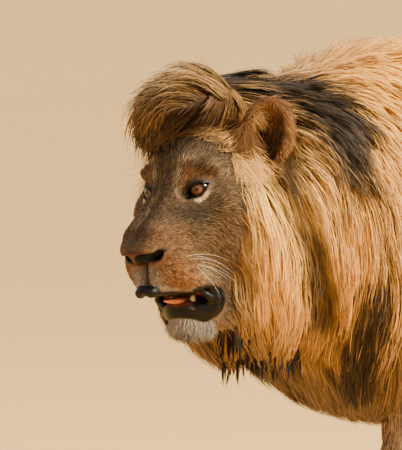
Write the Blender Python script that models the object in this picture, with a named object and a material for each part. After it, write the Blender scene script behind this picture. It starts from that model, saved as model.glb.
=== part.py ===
"""A standing adult male lion, modelled whole as a still, life-size figure.

The lion faces -Y, its left side is +X, and its soles rest on z = 0.  The head
is turned to its left and carried level with the back, the mouth a little open.
Every form is a smooth field in space: round and tapered volumes joined with
soft blends.  A field is turned into a surface, thinned out, and parted into
the named pieces of the animal, which meet with a narrow gap.
"""

import math

import bmesh
import bpy
import numpy as np
from mathutils import Matrix, Vector

# ---- driving sizes, metres and degrees ----
GAP = 0.0003                              # clearance between touching pieces
SNAP = 0.002                              # points this near a cutting plane move onto it
EYE_MIDDLE = np.array((0.096, -0.564, 0.965))   # midpoint between the irises
HEAD_TURN = 17.0                          # head turned to the lion's left
HEAD_TILT = -7.0                          # head tilted, left side higher
EYE_CENTRE = (0.050, 0.016, 0.0)          # eyeball centre in head coordinates
EYE_RADIUS = 0.0190
CANINE = (0.0215, -0.001, -0.194)         # middle of a lower canine in head coordinates
EAR_ROOT = (0.116, 0.140, 0.082)          # middle of the ear in head coordinates
EAR_SIZE = (0.047, 0.040, 0.066)          # half width, half depth, half height
CENTRE_SHIFT = (0.0, -0.363, 0.0)         # puts the origin under the middle

FORELEGS = {
    "left": {
        "shoulder": (0.128, -0.155, 0.820),
        "elbow": (0.155, -0.043, 0.600),
        "wrist": (0.148, -0.108, 0.215),
        "paw": (0.148, -0.150, 0.0),
    },
    "right": {
        "shoulder": (-0.122, -0.030, 0.815),
        "elbow": (-0.148, 0.136, 0.600),
        "wrist": (-0.140, 0.215, 0.215),
        "paw": (-0.140, 0.190, 0.0),
    },
}
HINDLEGS = {
    "left": {
        "hip": (0.105, 0.930, 0.850),
        "knee": (0.152, 0.745, 0.590),
        "hock": (0.138, 0.965, 0.305),
        "ankle": (0.138, 0.905, 0.085),
        "paw": (0.138, 0.860, 0.0),
    },
    "right": {
        "hip": (-0.105, 0.945, 0.850),
        "knee": (-0.152, 0.835, 0.580),
        "hock": (-0.138, 1.130, 0.330),
        "ankle": (-0.138, 1.115, 0.095),
        "paw": (-0.138, 1.075, 0.0),
    },
}
TAIL = (
    ((0.000, 1.020, 0.945), 0.060),
    ((0.000, 1.105, 0.895), 0.042),
    ((0.002, 1.165, 0.790), 0.032),
    ((0.008, 1.205, 0.660), 0.026),
    ((0.018, 1.240, 0.530), 0.023),
    ((0.030, 1.290, 0.410), 0.022),
)
TAIL_TUFT = (
    ((0.030, 1.290, 0.410), 0.026),
    ((0.036, 1.325, 0.345), 0.046),
    ((0.044, 1.370, 0.275), 0.038),
    ((0.050, 1.405, 0.215), 0.012),
)


# ---- vector and field helpers ----
def turn(yaw, nod=0.0, roll=0.0):
    """Axes turned about Z, then X, then Y, in degrees, as matrix columns."""
    z, x, y = (math.radians(a) for a in (yaw, nod, roll))
    about_z = np.array(((math.cos(z), -math.sin(z), 0), (math.sin(z), math.cos(z), 0), (0, 0, 1)))
    about_x = np.array(((1, 0, 0), (0, math.cos(x), -math.sin(x)), (0, math.sin(x), math.cos(x))))
    about_y = np.array(((math.cos(y), 0, math.sin(y)), (0, 1, 0), (-math.sin(y), 0, math.cos(y))))
    return about_z @ about_x @ about_y


HEAD_AXES = turn(HEAD_TURN, 0.0, HEAD_TILT)


def to_head(p):
    """World points in head coordinates: -Y to the nose, +X the lion's left."""
    return (p - EYE_MIDDLE) @ HEAD_AXES


def from_head(q):
    return np.asarray(q, float) @ HEAD_AXES.T + EYE_MIDDLE


def mirrored(p):
    return np.stack((np.abs(p[:, 0]), p[:, 1], p[:, 2]), 1)


def join(a, b, blend):
    """Union of two fields with a soft fillet."""
    near = np.maximum(blend - np.abs(a - b), 0) / blend
    return np.minimum(a, b) - near * near * blend * 0.25


def carve(a, b, blend):
    """Field a with field b taken out of it."""
    return -join(-a, b, blend)


def ball(p, centre, radii, nod=0.0, yaw=0.0, roll=0.0):
    """An ellipsoid."""
    q = p - np.asarray(centre, float)
    if nod or yaw or roll:
        q = q @ turn(yaw, nod, roll)
    r = np.asarray(radii, float)
    scaled = np.linalg.norm(q / r, axis=1)
    slope = np.linalg.norm(q / (r * r), axis=1)
    return scaled * (scaled - 1) / np.maximum(slope, 1e-6)


def limb(p, start, end, start_radius, end_radius):
    """A round bar that tapers from one station to the next."""
    a = np.asarray(start, float)
    along = np.asarray(end, float) - a
    t = np.clip((p - a) @ along / (along @ along), 0, 1)
    reach = np.linalg.norm(p - a - t[:, None] * along, axis=1)
    return reach - (start_radius + t * (end_radius - start_radius))


def chain(p, stations, blend):
    """Bars through a row of (point, radius) stations."""
    found = None
    for (a, ra), (b, rb) in zip(stations, stations[1:]):
        piece = limb(p, a, b, ra, rb)
        found = piece if found is None else join(found, piece, blend)
    return found


def between(a, b, share):
    return tuple(np.asarray(a) * (1 - share) + np.asarray(b) * share)


# ---- head, in head coordinates ----
def skull(q):
    f = ball(q, (0, 0.106, 0.008), (0.090, 0.112, 0.098))                     # braincase
    f = join(f, ball(q, (0, 0.050, 0.024), (0.066, 0.058, 0.068)), 0.04)      # forehead
    f = join(f, ball(q, (0, 0.056, -0.080), (0.086, 0.088, 0.092)), 0.05)     # core of the face
    f = join(f, ball(q, (0.048, 0.020, 0.032), (0.034, 0.024, 0.014)), 0.018)  # brow
    f = join(f, ball(q, (0.088, 0.062, -0.034), (0.036, 0.062, 0.036)), 0.045)  # cheekbone
    f = join(f, ball(q, (0.084, 0.104, -0.092), (0.044, 0.070, 0.080)), 0.05)  # chewing muscle
    return join(f, ball(q, (0.046, 0.000, -0.062), (0.032, 0.054, 0.032)), 0.03)  # under the eye


def muzzle(q):
    f = limb(q, (0.012, 0.014, -0.012), (0.012, -0.090, -0.072), 0.034, 0.024)  # bridge
    f = join(f, ball(q, (0.028, -0.044, -0.094), (0.031, 0.058, 0.044)), 0.03)
    f = join(f, ball(q, (0.032, -0.046, -0.126), (0.032, 0.044, 0.038)), 0.025)  # whisker pad
    f = join(f, ball(q, (0.016, -0.080, -0.142), (0.018, 0.020, 0.031)), 0.02)   # front of the lip
    return join(f, limb(q, (0.044, -0.036, -0.152), (0.070, 0.024, -0.168), 0.019, 0.014), 0.03)


def nose(q):
    f = ball(q, (0, -0.102, -0.096), (0.034, 0.027, 0.024))
    return join(f, ball(q, (0.022, -0.096, -0.092), (0.018, 0.026, 0.020)), 0.014)


def jaw(q):
    f = ball(q, (0, 0.016, -0.214), (0.029, 0.030, 0.028))                     # chin
    f = join(f, limb(q, (0.020, 0.016, -0.208), (0.047, 0.066, -0.200), 0.022, 0.028), 0.03)
    f = join(f, limb(q, (0.048, 0.066, -0.200), (0.070, 0.118, -0.130), 0.031, 0.045), 0.05)
    return join(f, ball(q, (0, 0.070, -0.200), (0.052, 0.080, 0.034)), 0.04)   # between the jawbones


def mouth(q):
    """The open slit between the lips, which runs back to the mouth corners."""
    return ball(q, (0.0, -0.050, -0.184), (0.083, 0.092, 0.0125), -6)


def orbit(q):
    """The hollow the eye looks out of."""
    return ball(q, (0.056, -0.010, 0.000), (0.027, 0.022, 0.0125), 0, 20, -12)


def head_form(p):
    q = mirrored(to_head(p))
    f = join(skull(q), muzzle(q), 0.032)
    f = join(f, jaw(q), 0.03)
    f = carve(f, orbit(q), 0.008)
    return carve(f, mouth(q), 0.008)


def nose_form(p):
    return nose(mirrored(to_head(p)))


def ear_form(p, side):
    """A rounded cup, open forwards and outwards, thick at its rim."""
    q = to_head(p) * np.array((side, 1.0, 1.0)) - np.array(EAR_ROOT)
    t = q @ turn(38, 4, 12)
    outer = ball(t, (0, 0, 0), EAR_SIZE)
    inner = ball(t, (0, -0.026, 0.002), (EAR_SIZE[0] - 0.011, EAR_SIZE[1] + 0.002, EAR_SIZE[2] - 0.013))
    return carve(outer, inner, 0.010)


def ear_room(q, sign):
    """The space an ear and its cup take up, kept clear of the mane."""
    t = (q * np.array((sign, 1.0, 1.0)) - np.array(EAR_ROOT)) @ turn(38, 4, 12)
    return ball(t, (0, -0.012, 0.002), np.array(EAR_SIZE) + (-0.003, 0.014, -0.005))


def tongue_form(p):
    q = to_head(p)
    return ball(q, (0, 0.004, -0.191), (0.0145, 0.054, 0.0064), -5)


# ---- mane ----
def mane_form(p):
    """The outer shape of the mane, out to the tips of its hair."""
    h = to_head(p)
    m = mirrored(h)
    f = ball(m, (0.0, 0.120, 0.148), (0.086, 0.120, 0.078))                    # crown
    f = join(f, ball(m, (0.0, 0.034, 0.148), (0.084, 0.084, 0.048), 12), 0.04)  # forelock
    f = join(f, ball(h, (-0.050, 0.004, 0.112), (0.030, 0.032, 0.048)), 0.03)  # its hanging end
    f = join(f, ball(m, (0.104, 0.142, -0.080), (0.074, 0.086, 0.150)), 0.06)   # cheek ruff
    f = join(f, ball(m, (0.050, 0.182, -0.220), (0.072, 0.084, 0.105)), 0.06)   # throat ruff
    w = ball(p, (0.020, -0.240, 0.930), (0.220, 0.200, 0.236))                 # neck
    w = join(w, ball(mirrored(p), (0.075, -0.080, 0.880), (0.175, 0.190, 0.300)), 0.10)
    w = join(w, ball(p, (0.0, -0.010, 1.080), (0.125, 0.210, 0.128)), 0.07)    # withers
    w = join(w, ball(p, (0.0, -0.090, 0.665), (0.150, 0.170, 0.152)), 0.10)    # breast
    w = join(w, ball(mirrored(p), (0.140, -0.120, 0.740), (0.112, 0.150, 0.160)), 0.08)  # upper arm
    f = join(f, w, 0.08)
    for sign in (1, -1):
        f = carve(f, ear_room(h, sign), 0.02)
    return f


# ---- trunk, legs, tail ----
def trunk_form(p):
    q = mirrored(p)
    f = ball(q, (0, 0.200, 0.820), (0.188, 0.360, 0.250))                      # ribs
    f = join(f, ball(q, (0.105, -0.030, 0.860), (0.090, 0.155, 0.215), -18), 0.09)  # shoulder
    f = join(f, ball(q, (0, 0.030, 1.020), (0.080, 0.180, 0.095)), 0.10)       # withers
    f = join(f, ball(q, (0, 0.580, 0.775), (0.165, 0.340, 0.180)), 0.12)       # belly
    back = [((0, 0.10, 0.980), 0.10), ((0, 0.48, 0.945), 0.10), ((0, 0.84, 0.945), 0.11)]
    f = join(f, chain(q, back, 0.05), 0.10)
    f = join(f, ball(q, (0.035, 0.920, 0.870), (0.128, 0.170, 0.170)), 0.10)   # rump
    return join(f, ball(q, (0, -0.140, 0.800), (0.130, 0.130, 0.170)), 0.10)   # breast


def neck_form(p):
    stations = [(tuple(from_head((0, 0.170, -0.030))), 0.125), ((0.020, -0.270, 0.930), 0.150),
                ((0, -0.080, 0.900), 0.190)]
    return chain(p, stations, 0.06)


def paw_form(p, at, width):
    """Pad, four toes side by side, the middle two reaching further."""
    q = (p - np.array(at, float)) / width
    f = ball(q, (0, 0.018, 0.045), (0.054, 0.062, 0.046))
    for x, y in ((-0.037, -0.034), (-0.013, -0.056), (0.013, -0.056), (0.037, -0.034)):
        f = join(f, ball(q, (x, y, 0.027), (0.0195, 0.036, 0.031)), 0.009)
    return f * width


def foreleg_form(p, side):
    s, e, w, g = (np.array(FORELEGS[side][k]) for k in ("shoulder", "elbow", "wrist", "paw"))
    f = chain(p, [(s, 0.106), (e + (0, -0.005, 0.02), 0.084)], 0.05)
    f = join(f, ball(p, e + (0, 0.045, 0.020), (0.050, 0.050, 0.060)), 0.05)   # point of the elbow
    f = join(f, chain(p, [(e, 0.076), (between(e, w, 0.40), 0.068), (w, 0.050)], 0.03), 0.05)
    f = join(f, chain(p, [(w, 0.052), (g + (0, 0.020, 0.055), 0.050)], 0.03), 0.03)
    return join(f, paw_form(p, g, 1.16), 0.03)


def hindleg_form(p, side):
    names = ("hip", "knee", "hock", "ankle", "paw")
    h, k, o, a, g = (np.array(HINDLEGS[side][n]) for n in names)
    f = chain(p, [(h, 0.138), (k, 0.094)], 0.06)
    f = join(f, chain(p, [(h + (0, 0.055, -0.060), 0.104), (between(k, o, 0.62), 0.052)], 0.05), 0.07)
    f = join(f, chain(p, [(k, 0.084), (between(k, o, 0.60), 0.056), (o, 0.041)], 0.04), 0.05)
    f = join(f, chain(p, [(o, 0.044), (a, 0.042), (g + (0, 0.020, 0.050), 0.044)], 0.03), 0.03)
    return join(f, paw_form(p, g, 1.06), 0.03)


def tail_form(p):
    return join(chain(p, TAIL, 0.03), chain(p, TAIL_TUFT, 0.03), 0.02)


def body_form(p):
    """Trunk, neck and mane, with the tops of the legs and the tail root blended in."""
    f = join(trunk_form(p), neck_form(p), 0.10)
    for side in FORELEGS:
        s, e = (FORELEGS[side][k] for k in ("shoulder", "elbow"))
        f = join(f, limb(p, s, between(s, e, 0.80), 0.105, 0.085), 0.06)
    for side in HINDLEGS:
        h, k, o = (np.array(HINDLEGS[side][n]) for n in ("hip", "knee", "hock"))
        f = join(f, limb(p, h, between(h, k, 0.55), 0.137, 0.110), 0.06)
        f = join(f, limb(p, h + (0, 0.055, -0.060), h + (0, 0.045, -0.130), 0.103, 0.090), 0.06)
    f = join(f, limb(p, TAIL[0][0], between(TAIL[0][0], TAIL[1][0], 0.6), 0.060, 0.040), 0.04)
    return join(f, mane_form(p), 0.03)


# ---- from a field to a surface ----
def without_pinches(values, step):
    """Fill grid faces whose inside corners only touch across a diagonal."""
    for _ in range(6):
        pinched = 0
        for u, v in ((0, 1), (1, 2), (0, 2)):
            views = []
            for end_u, end_v in ((0, 0), (1, 0), (1, 1), (0, 1)):
                part = [slice(None)] * 3
                part[u] = slice(1, None) if end_u else slice(None, -1)
                part[v] = slice(1, None) if end_v else slice(None, -1)
                views.append(values[tuple(part)])
            a, b, c, d = views
            one = (a < 0) & (c < 0) & (b >= 0) & (d >= 0)
            b[one] = -step
            other = (b < 0) & (d < 0) & (a >= 0) & (c >= 0)
            a[other] = -step
            pinched += int(one.sum() + other.sum())
        if not pinched:
            break
    return values


def surface(field, low, high, cell):
    """Points and quads of the zero level of a field inside a box."""
    low = np.asarray(low, float)
    counts = np.ceil((np.asarray(high, float) - low) / cell).astype(int) + 1
    axes = [low[i] + cell * np.arange(counts[i]) for i in range(3)]
    grid = np.stack(np.meshgrid(*axes, indexing="ij"), -1).reshape(-1, 3)
    values = field(grid).reshape(counts)
    for axis in range(3):
        for end in (0, -1):
            wall = [slice(None)] * 3
            wall[axis] = end
            values[tuple(wall)] = np.maximum(values[tuple(wall)], cell * 0.5)
    values = without_pinches(values, cell * 0.05)
    total = np.zeros((values.size, 3))
    count = np.zeros(values.size)
    sheets = []
    for axis in range(3):
        u, v = (axis + 1) % 3, (axis + 2) % 3
        first, last = [slice(None)] * 3, [slice(None)] * 3
        first[axis], last[axis] = slice(None, -1), slice(1, None)
        a, b = values[tuple(first)], values[tuple(last)]
        crossing = (a < 0) != (b < 0)
        start = np.argwhere(crossing)
        point = start.astype(float)
        point[:, axis] += a[crossing] / (a[crossing] - b[crossing])
        corners = []
        for step_u, step_v in ((0, 0), (-1, 0), (-1, -1), (0, -1)):
            place = start.copy()
            place[:, u] += step_u
            place[:, v] += step_v
            flat = np.ravel_multi_index(tuple(place.T), values.shape)
            for i in range(3):
                total[:, i] += np.bincount(flat, point[:, i], values.size)
            count += np.bincount(flat, minlength=values.size)
            corners.append(flat)
        quads = np.stack(corners, 1)
        outward = a[crossing] < 0
        sheets.append(np.where(outward[:, None], quads, quads[:, ::-1]))
    used = count > 0
    number = np.cumsum(used) - 1
    points = total[used] / count[used][:, None] * cell + low
    return points, number[np.concatenate(sheets)]


def add_object(name, mesh):
    obj = bpy.data.objects.new(name, mesh)
    bpy.context.scene.collection.objects.link(obj)
    return obj


def settle(obj):
    """Turn an object's modifiers into its plain mesh."""
    bpy.context.view_layer.update()
    seen = obj.evaluated_get(bpy.context.evaluated_depsgraph_get())
    mesh = bpy.data.meshes.new_from_object(seen)
    obj.modifiers.clear()
    obj.data = mesh


def largest_body(obj):
    """Drop crumbs that a cut left, keeping the biggest connected body."""
    work = bmesh.new()
    work.from_mesh(obj.data)
    left = set(work.verts)
    bodies = []
    while left:
        reach = [left.pop()]
        body = set(reach)
        while reach:
            for edge in reach.pop().link_edges:
                for vert in edge.verts:
                    if vert in left:
                        left.discard(vert)
                        body.add(vert)
                        reach.append(vert)
        bodies.append(body)
    keep = max(bodies, key=len)
    bmesh.ops.delete(work, geom=[v for v in work.verts if v not in keep], context="VERTS")
    bmesh.ops.triangulate(work, faces=work.faces[:])
    work.to_mesh(obj.data)
    work.free()


def form(name, field, low, high, cell, triangles):
    """A solid from a field, thinned to about the wished number of triangles."""
    points, quads = surface(field, low, high, cell)
    mesh = bpy.data.meshes.new(name)
    mesh.from_pydata(points.tolist(), [], quads.tolist())
    obj = add_object(name, mesh)
    largest_body(obj)
    if triangles < 2 * len(quads):
        thin = obj.modifiers.new("thin", "DECIMATE")
        thin.ratio = triangles / (2 * len(quads))
        settle(obj)
    return obj


def cut(obj, point, outward):
    """Remove what lies beyond a plane and close the opening flat."""
    work = bmesh.new()
    work.from_mesh(obj.data)
    side = Vector(outward).normalized()
    for vert in work.verts:
        reach = (vert.co - Vector(point)).dot(side)
        if abs(reach) < SNAP:
            vert.co -= side * reach
    geometry = work.verts[:] + work.edges[:] + work.faces[:]
    bmesh.ops.bisect_plane(work, geom=geometry, dist=1e-6, plane_co=Vector(point), plane_no=side,
                           clear_outer=True)
    rim = [e for e in work.edges if e.is_boundary]
    if rim:
        made = bmesh.ops.holes_fill(work, edges=rim, sides=0)
        bmesh.ops.triangulate(work, faces=made["faces"])
    work.to_mesh(obj.data)
    work.free()


def split(obj, names, point, direction):
    """Part one solid into two named pieces on either side of a plane."""
    side = np.asarray(direction, float)
    side = side / np.linalg.norm(side)
    other = add_object(names[1], obj.data.copy())
    cut(obj, np.asarray(point) - side * GAP / 2, side)
    cut(other, np.asarray(point) + side * GAP / 2, -side)
    obj.name = names[0]
    return obj, other


def nearby(one, other):
    """Whether the boxes of two solids meet."""
    a = np.array([v.co for v in one.data.vertices])
    b = np.array([v.co for v in other.data.vertices])
    return bool(np.all(a.min(0) < b.max(0) + 0.002) and np.all(b.min(0) < a.max(0) + 0.002))


def take_out(obj, others):
    """Make room in a solid for other solids, with the gap all round."""
    for other in others:
        room = add_object("room", other.data.copy())
        swell = room.modifiers.new("swell", "DISPLACE")
        swell.mid_level = 0.0
        swell.strength = GAP * 1.6
        away = obj.modifiers.new("away", "BOOLEAN")
        away.operation = "DIFFERENCE"
        away.solver = "EXACT"
        away.object = room
        settle(obj)
        bpy.data.objects.remove(room)


# ---- materials ----
def material(name, colour, roughness):
    made = bpy.data.materials.new(name)
    made.use_nodes = True
    shader = made.node_tree.nodes["Principled BSDF"]
    shader.inputs["Base Color"].default_value = (*colour, 1.0)
    shader.inputs["Roughness"].default_value = roughness
    return made


def dress(obj, made):
    obj.data.materials.clear()
    obj.data.materials.append(made)
    obj.data.shade_smooth()
    obj.data.set_sharp_from_angle(angle=math.radians(50))


# ---- the animal, piece by piece ----
def build_head():
    centre = from_head((0, 0.02, -0.06))
    whole = form("head", head_form, centre - 0.27, centre + 0.27, 0.0065, 880)
    snout = form("nose", nose_form, centre - 0.27, centre + 0.27, 0.0055, 120)
    eyes = []
    for side, sign in (("left", 1), ("right", -1)):
        place = from_head(np.array(EYE_CENTRE) * (sign, 1, 1))
        work = bmesh.new()
        bmesh.ops.create_icosphere(work, subdivisions=2, radius=EYE_RADIUS)
        bmesh.ops.translate(work, verts=work.verts, vec=Vector(place))
        mesh = bpy.data.meshes.new("eye_" + side)
        work.to_mesh(mesh)
        work.free()
        eyes.append(add_object("eye_" + side, mesh))
    ears = []
    for side, sign in (("left", 1), ("right", -1)):
        middle = from_head(np.array(EAR_ROOT) * (sign, 1, 1))
        ear = form("ear_" + side, lambda p, s=sign: ear_form(p, s), middle - 0.09, middle + 0.09, 0.0036, 180)
        ears.append(ear)
    canines = []
    for side, sign in (("left", 1), ("right", -1)):
        work = bmesh.new()
        bmesh.ops.create_cone(work, cap_ends=True, segments=8, radius1=0.0062, radius2=0.0014, depth=0.030)
        lean = Matrix(HEAD_AXES.tolist()).to_4x4()
        place = Vector(from_head(np.array(CANINE) * (sign, 1, 1)))
        bmesh.ops.transform(work, matrix=Matrix.Translation(place) @ lean, verts=work.verts)
        bmesh.ops.triangulate(work, faces=work.faces[:])
        mesh = bpy.data.meshes.new("canine_" + side)
        work.to_mesh(mesh)
        work.free()
        canines.append(add_object("canine_" + side, mesh))
    backwards = HEAD_AXES @ np.array((0, 1.0, 0))
    cut(whole, from_head((0, 0.125, 0)), backwards)
    take_out(whole, [snout] + eyes + ears)
    level = HEAD_AXES @ turn(0, -6, 0) @ np.array((0, 0, -1.0))
    head, lower = split(whole, ("head", "lower_jaw"), from_head((0.0, -0.056, -0.184)), level)
    place = from_head((0, 0.004, -0.191))
    tongue = form("tongue", tongue_form, place - 0.09, place + 0.09, 0.004, 70)
    take_out(lower, canines)
    take_out(head, canines)
    take_out(tongue, [lower, head])
    return head, lower, snout, eyes, ears, [tongue] + canines


def build_legs():
    pieces = []
    for side, joints in FORELEGS.items():
        s, e, w = (np.array(joints[k]) for k in ("shoulder", "elbow", "wrist"))
        low = np.min([joints[k] for k in joints], axis=0) - (0.16, 0.19, 0.02)
        high = np.max([joints[k] for k in joints], axis=0) + (0.16, 0.18, 0.16)
        leg = form("foreleg", lambda p, s=side: foreleg_form(p, s), low, high, 0.0095, 440)
        cut(leg, (0, 0, 0), (0, 0, -1))
        cut(leg, between(s, e, 0.66), s - e)
        upper, rest = split(leg, ("foreleg_upper_" + side, "rest"), e + (0, 0, -0.035), (0, 0.1, -1))
        lower, paw = split(rest, ("foreleg_lower_" + side, "forepaw_" + side), w + (0, 0, -0.050), (0, 0, -1))
        pieces += [upper, lower, paw]
    for side, joints in HINDLEGS.items():
        h, k, o, a = (np.array(joints[n]) for n in ("hip", "knee", "hock", "ankle"))
        low = np.min([joints[n] for n in joints], axis=0) - (0.16, 0.19, 0.02)
        high = np.max([joints[n] for n in joints], axis=0) + (0.16, 0.19, 0.18)
        leg = form("hindleg", lambda p, s=side: hindleg_form(p, s), low, high, 0.0095, 500)
        cut(leg, (0, 0, 0), (0, 0, -1))
        cut(leg, between(h, k, 0.36), (0, -0.12, 1))
        outer = math.copysign(1.0, h[0])
        cut(leg, (outer * GAP / 2, 0, 0), (-outer, 0, 0))
        thigh, rest = split(leg, ("thigh_" + side, "rest"), between(k, o, 0.18), (0, 0.45, -1))
        shank, rest = split(rest, ("shank_" + side, "rest"), o, (0, -0.15, -1))
        shin, paw = split(rest, ("hind_foot_" + side, "hind_paw_" + side), a + (0, 0, 0.02), (0, -0.2, -1))
        pieces += [thigh, shank, shin, paw]
    return pieces


def build_tail():
    low = np.min([s[0] for s in TAIL + TAIL_TUFT], axis=0) - 0.08
    high = np.max([s[0] for s in TAIL + TAIL_TUFT], axis=0) + 0.08
    whole = form("tail", tail_form, low, high, 0.0095, 230)
    cut(whole, between(TAIL[0][0], TAIL[1][0], 0.45), (0, -1, 0.4))
    base, rest = split(whole, ("tail_base", "rest"), TAIL[2][0], (0, 0.4, -1))
    middle, tuft = split(rest, ("tail_middle", "tail_tuft"), TAIL[5][0], (0, 0.4, -1))
    return [base, middle, tuft]


def build_body(hard, legs, tail):
    """Trunk, neck and mane as one form, parted by planes from rump to brow."""
    rear = form("hips", body_form, (-0.36, 0.06, 0.40), (0.36, 1.22, 1.30), 0.020, 520)
    cut(rear, (0, 0.110, 0), (0, -1, 0))
    ribs, rest = split(rear, ("ribcage", "rest"), (0, 0.370, 0), (0, 1, 0))
    belly, hips = split(rest, ("belly", "hips"), (0, 0.690, 0), (0, 1, 0))
    front = form("front", body_form, (-0.36, -0.80, 0.42), (0.36, 0.20, 1.36), 0.0145, 1080)
    cut(front, (0, 0.110 - GAP, 0), (0, 1, 0))
    behind = HEAD_AXES @ np.array((0, 1.0, 0))
    collar, rest = split(front, ("collar", "rest"), from_head((0, 0.195, 0)), behind)
    neck, rest = split(rest, ("neck", "rest"), (0, -0.150, 0.93), (0, 1, 0.15))
    shoulders, chest = split(rest, ("shoulders", "chest"), (0, -0.1, 0.720), (0, 0, -1))
    above = HEAD_AXES @ np.array((0, -0.45, 1.0))
    lower, crown = split(collar, ("lower", "crown_mane"), from_head((0, 0.1, 0.085)), above)
    below = HEAD_AXES @ np.array((0, 0, -1.0))
    ruff, throat = split(lower, ("ruff", "throat_mane"), from_head((0, 0.1, -0.160)), below)
    left, right = split(ruff, ("cheek_mane_left", "cheek_mane_right"), from_head((0.003, 0, 0)),
                        HEAD_AXES @ np.array((-1.0, 0, 0)))
    pieces = [ribs, belly, hips, neck, shoulders, chest, crown, throat, left, right]
    for piece in pieces:
        take_out(piece, [other for other in hard + legs + tail if nearby(piece, other)])
    return pieces


def main():
    for obj in list(bpy.data.objects):
        bpy.data.objects.remove(obj)
    head, lower, snout, eyes, ears, inside = build_head()
    legs = build_legs()
    tail = build_tail()
    body = build_body([head, lower] + ears, legs, tail)
    short_coat = (0.46, 0.30, 0.15)
    looks = {
        "head": ((0.40, 0.29, 0.18), 0.75),
        "lower_jaw": ((0.55, 0.47, 0.36), 0.75),
        "nose": ((0.16, 0.08, 0.06), 0.45),
        "eye": ((0.35, 0.16, 0.04), 0.15),
        "ear": ((0.36, 0.20, 0.09), 0.80),
        "tongue": ((0.60, 0.25, 0.18), 0.40),
        "canine": ((0.80, 0.74, 0.58), 0.35),
        "mane": ((0.50, 0.33, 0.15), 0.85),
        "neck": ((0.30, 0.19, 0.10), 0.85),
        "shoulders": ((0.24, 0.15, 0.09), 0.85),
        "chest": ((0.14, 0.09, 0.06), 0.85),
        "tail_tuft": ((0.07, 0.05, 0.04), 0.85),
    }
    for obj in [head, lower, snout] + inside + eyes + ears + legs + tail + body:
        found = [word for word in looks if word in obj.name]
        colour, roughness = looks[found[-1]] if found else (short_coat, 0.80)
        largest_body(obj)
        obj.data.transform(Matrix.Translation(CENTRE_SHIFT))
        dress(obj, material(obj.name + "_coat", colour, roughness))


main()
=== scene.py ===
import math

import bmesh
import bpy
import numpy as np
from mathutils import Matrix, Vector
from mathutils.bvhtree import BVHTree
from mathutils.kdtree import KDTree


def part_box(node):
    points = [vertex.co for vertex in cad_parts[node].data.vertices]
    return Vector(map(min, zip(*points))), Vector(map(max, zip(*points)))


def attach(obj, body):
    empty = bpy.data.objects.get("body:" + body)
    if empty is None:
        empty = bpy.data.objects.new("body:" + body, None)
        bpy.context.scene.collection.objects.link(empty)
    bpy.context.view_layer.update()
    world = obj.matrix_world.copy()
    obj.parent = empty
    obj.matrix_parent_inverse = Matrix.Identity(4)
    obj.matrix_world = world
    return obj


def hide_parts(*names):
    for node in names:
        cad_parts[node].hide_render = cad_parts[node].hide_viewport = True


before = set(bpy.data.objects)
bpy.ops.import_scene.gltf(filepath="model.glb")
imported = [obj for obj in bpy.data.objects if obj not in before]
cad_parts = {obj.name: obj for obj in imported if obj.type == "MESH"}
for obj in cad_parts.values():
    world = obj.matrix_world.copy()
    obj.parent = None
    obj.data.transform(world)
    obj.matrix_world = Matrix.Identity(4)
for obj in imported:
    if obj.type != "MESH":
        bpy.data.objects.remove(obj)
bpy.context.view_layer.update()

DENSITY = 1.0
CELL = 0.006
FLOOR_GAP = 0.0004

# ---- sizes shared with the solids, metres and degrees ----
EYE_MIDDLE = np.array((0.096, -0.564, 0.965))
HEAD_TURN, HEAD_TILT = 17.0, -7.0
EYE_CENTRE = np.array((0.050, 0.016, 0.0))
EYE_RADIUS = 0.0190
CANINE = (0.0215, -0.001, -0.194)
EAR_ROOT = np.array((0.116, 0.140, 0.082))
EAR_SIZE = np.array((0.044, 0.038, 0.066))
FACE_COAT, BODY_COAT, MANE_COAT = 0.0030, 0.0075, 0.034
TOE_GROOVE = 0.006
TUFT_TOP = 0.43

# the furrow between cheek mane and neck mane, as points on the mirrored body; the hair along it is darkened
# as painted shade
SHADED_FURROW = ((0.206, -0.405, 1.010), (0.230, -0.394, 0.958), (0.238, -0.381, 0.916), (0.237, -0.358, 0.867),
            (0.223, -0.337, 0.816), (0.203, -0.313, 0.768), (0.178, -0.292, 0.720))

# shoulder, elbow, wrist and sole, on the left (1) and the right (-1)
FORELEGS = {
    1: ((0.128, -0.155, 0.820), (0.155, -0.043, 0.600), (0.148, -0.108, 0.215), (0.148, -0.150, 0.0)),
    -1: ((-0.122, -0.030, 0.815), (-0.148, 0.136, 0.600), (-0.140, 0.215, 0.215), (-0.140, 0.190, 0.0)),
}
# hip, knee, hock, ankle and sole
HINDLEGS = {
    1: ((0.105, 0.930, 0.850), (0.152, 0.745, 0.590), (0.138, 0.965, 0.305), (0.138, 0.905, 0.085),
        (0.138, 0.860, 0.0)),
    -1: ((-0.105, 0.945, 0.850), (-0.152, 0.835, 0.580), (-0.138, 1.130, 0.330), (-0.138, 1.115, 0.095),
         (-0.138, 1.075, 0.0)),
}
# points along the tail and its tuft, and their radii
TAIL = (((0.000, 1.020, 0.945), 0.060), ((0.000, 1.105, 0.895), 0.042), ((0.002, 1.165, 0.790), 0.032),
        ((0.008, 1.205, 0.660), 0.026), ((0.018, 1.240, 0.530), 0.023), ((0.030, 1.290, 0.410), 0.022))
TAIL_TUFT = (((0.030, 1.290, 0.410), 0.026), ((0.036, 1.325, 0.345), 0.046), ((0.044, 1.370, 0.275), 0.038),
             ((0.050, 1.405, 0.215), 0.012))


# ---- vectors and fields ----
def turn(yaw, nod=0.0, roll=0.0):
    z, x, y = (math.radians(a) for a in (yaw, nod, roll))
    about_z = np.array(((math.cos(z), -math.sin(z), 0), (math.sin(z), math.cos(z), 0), (0, 0, 1)))
    about_x = np.array(((1, 0, 0), (0, math.cos(x), -math.sin(x)), (0, math.sin(x), math.cos(x))))
    about_y = np.array(((math.cos(y), 0, math.sin(y)), (0, 1, 0), (-math.sin(y), 0, math.cos(y))))
    return about_z @ about_x @ about_y


HEAD_AXES = turn(HEAD_TURN, 0.0, HEAD_TILT)


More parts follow.
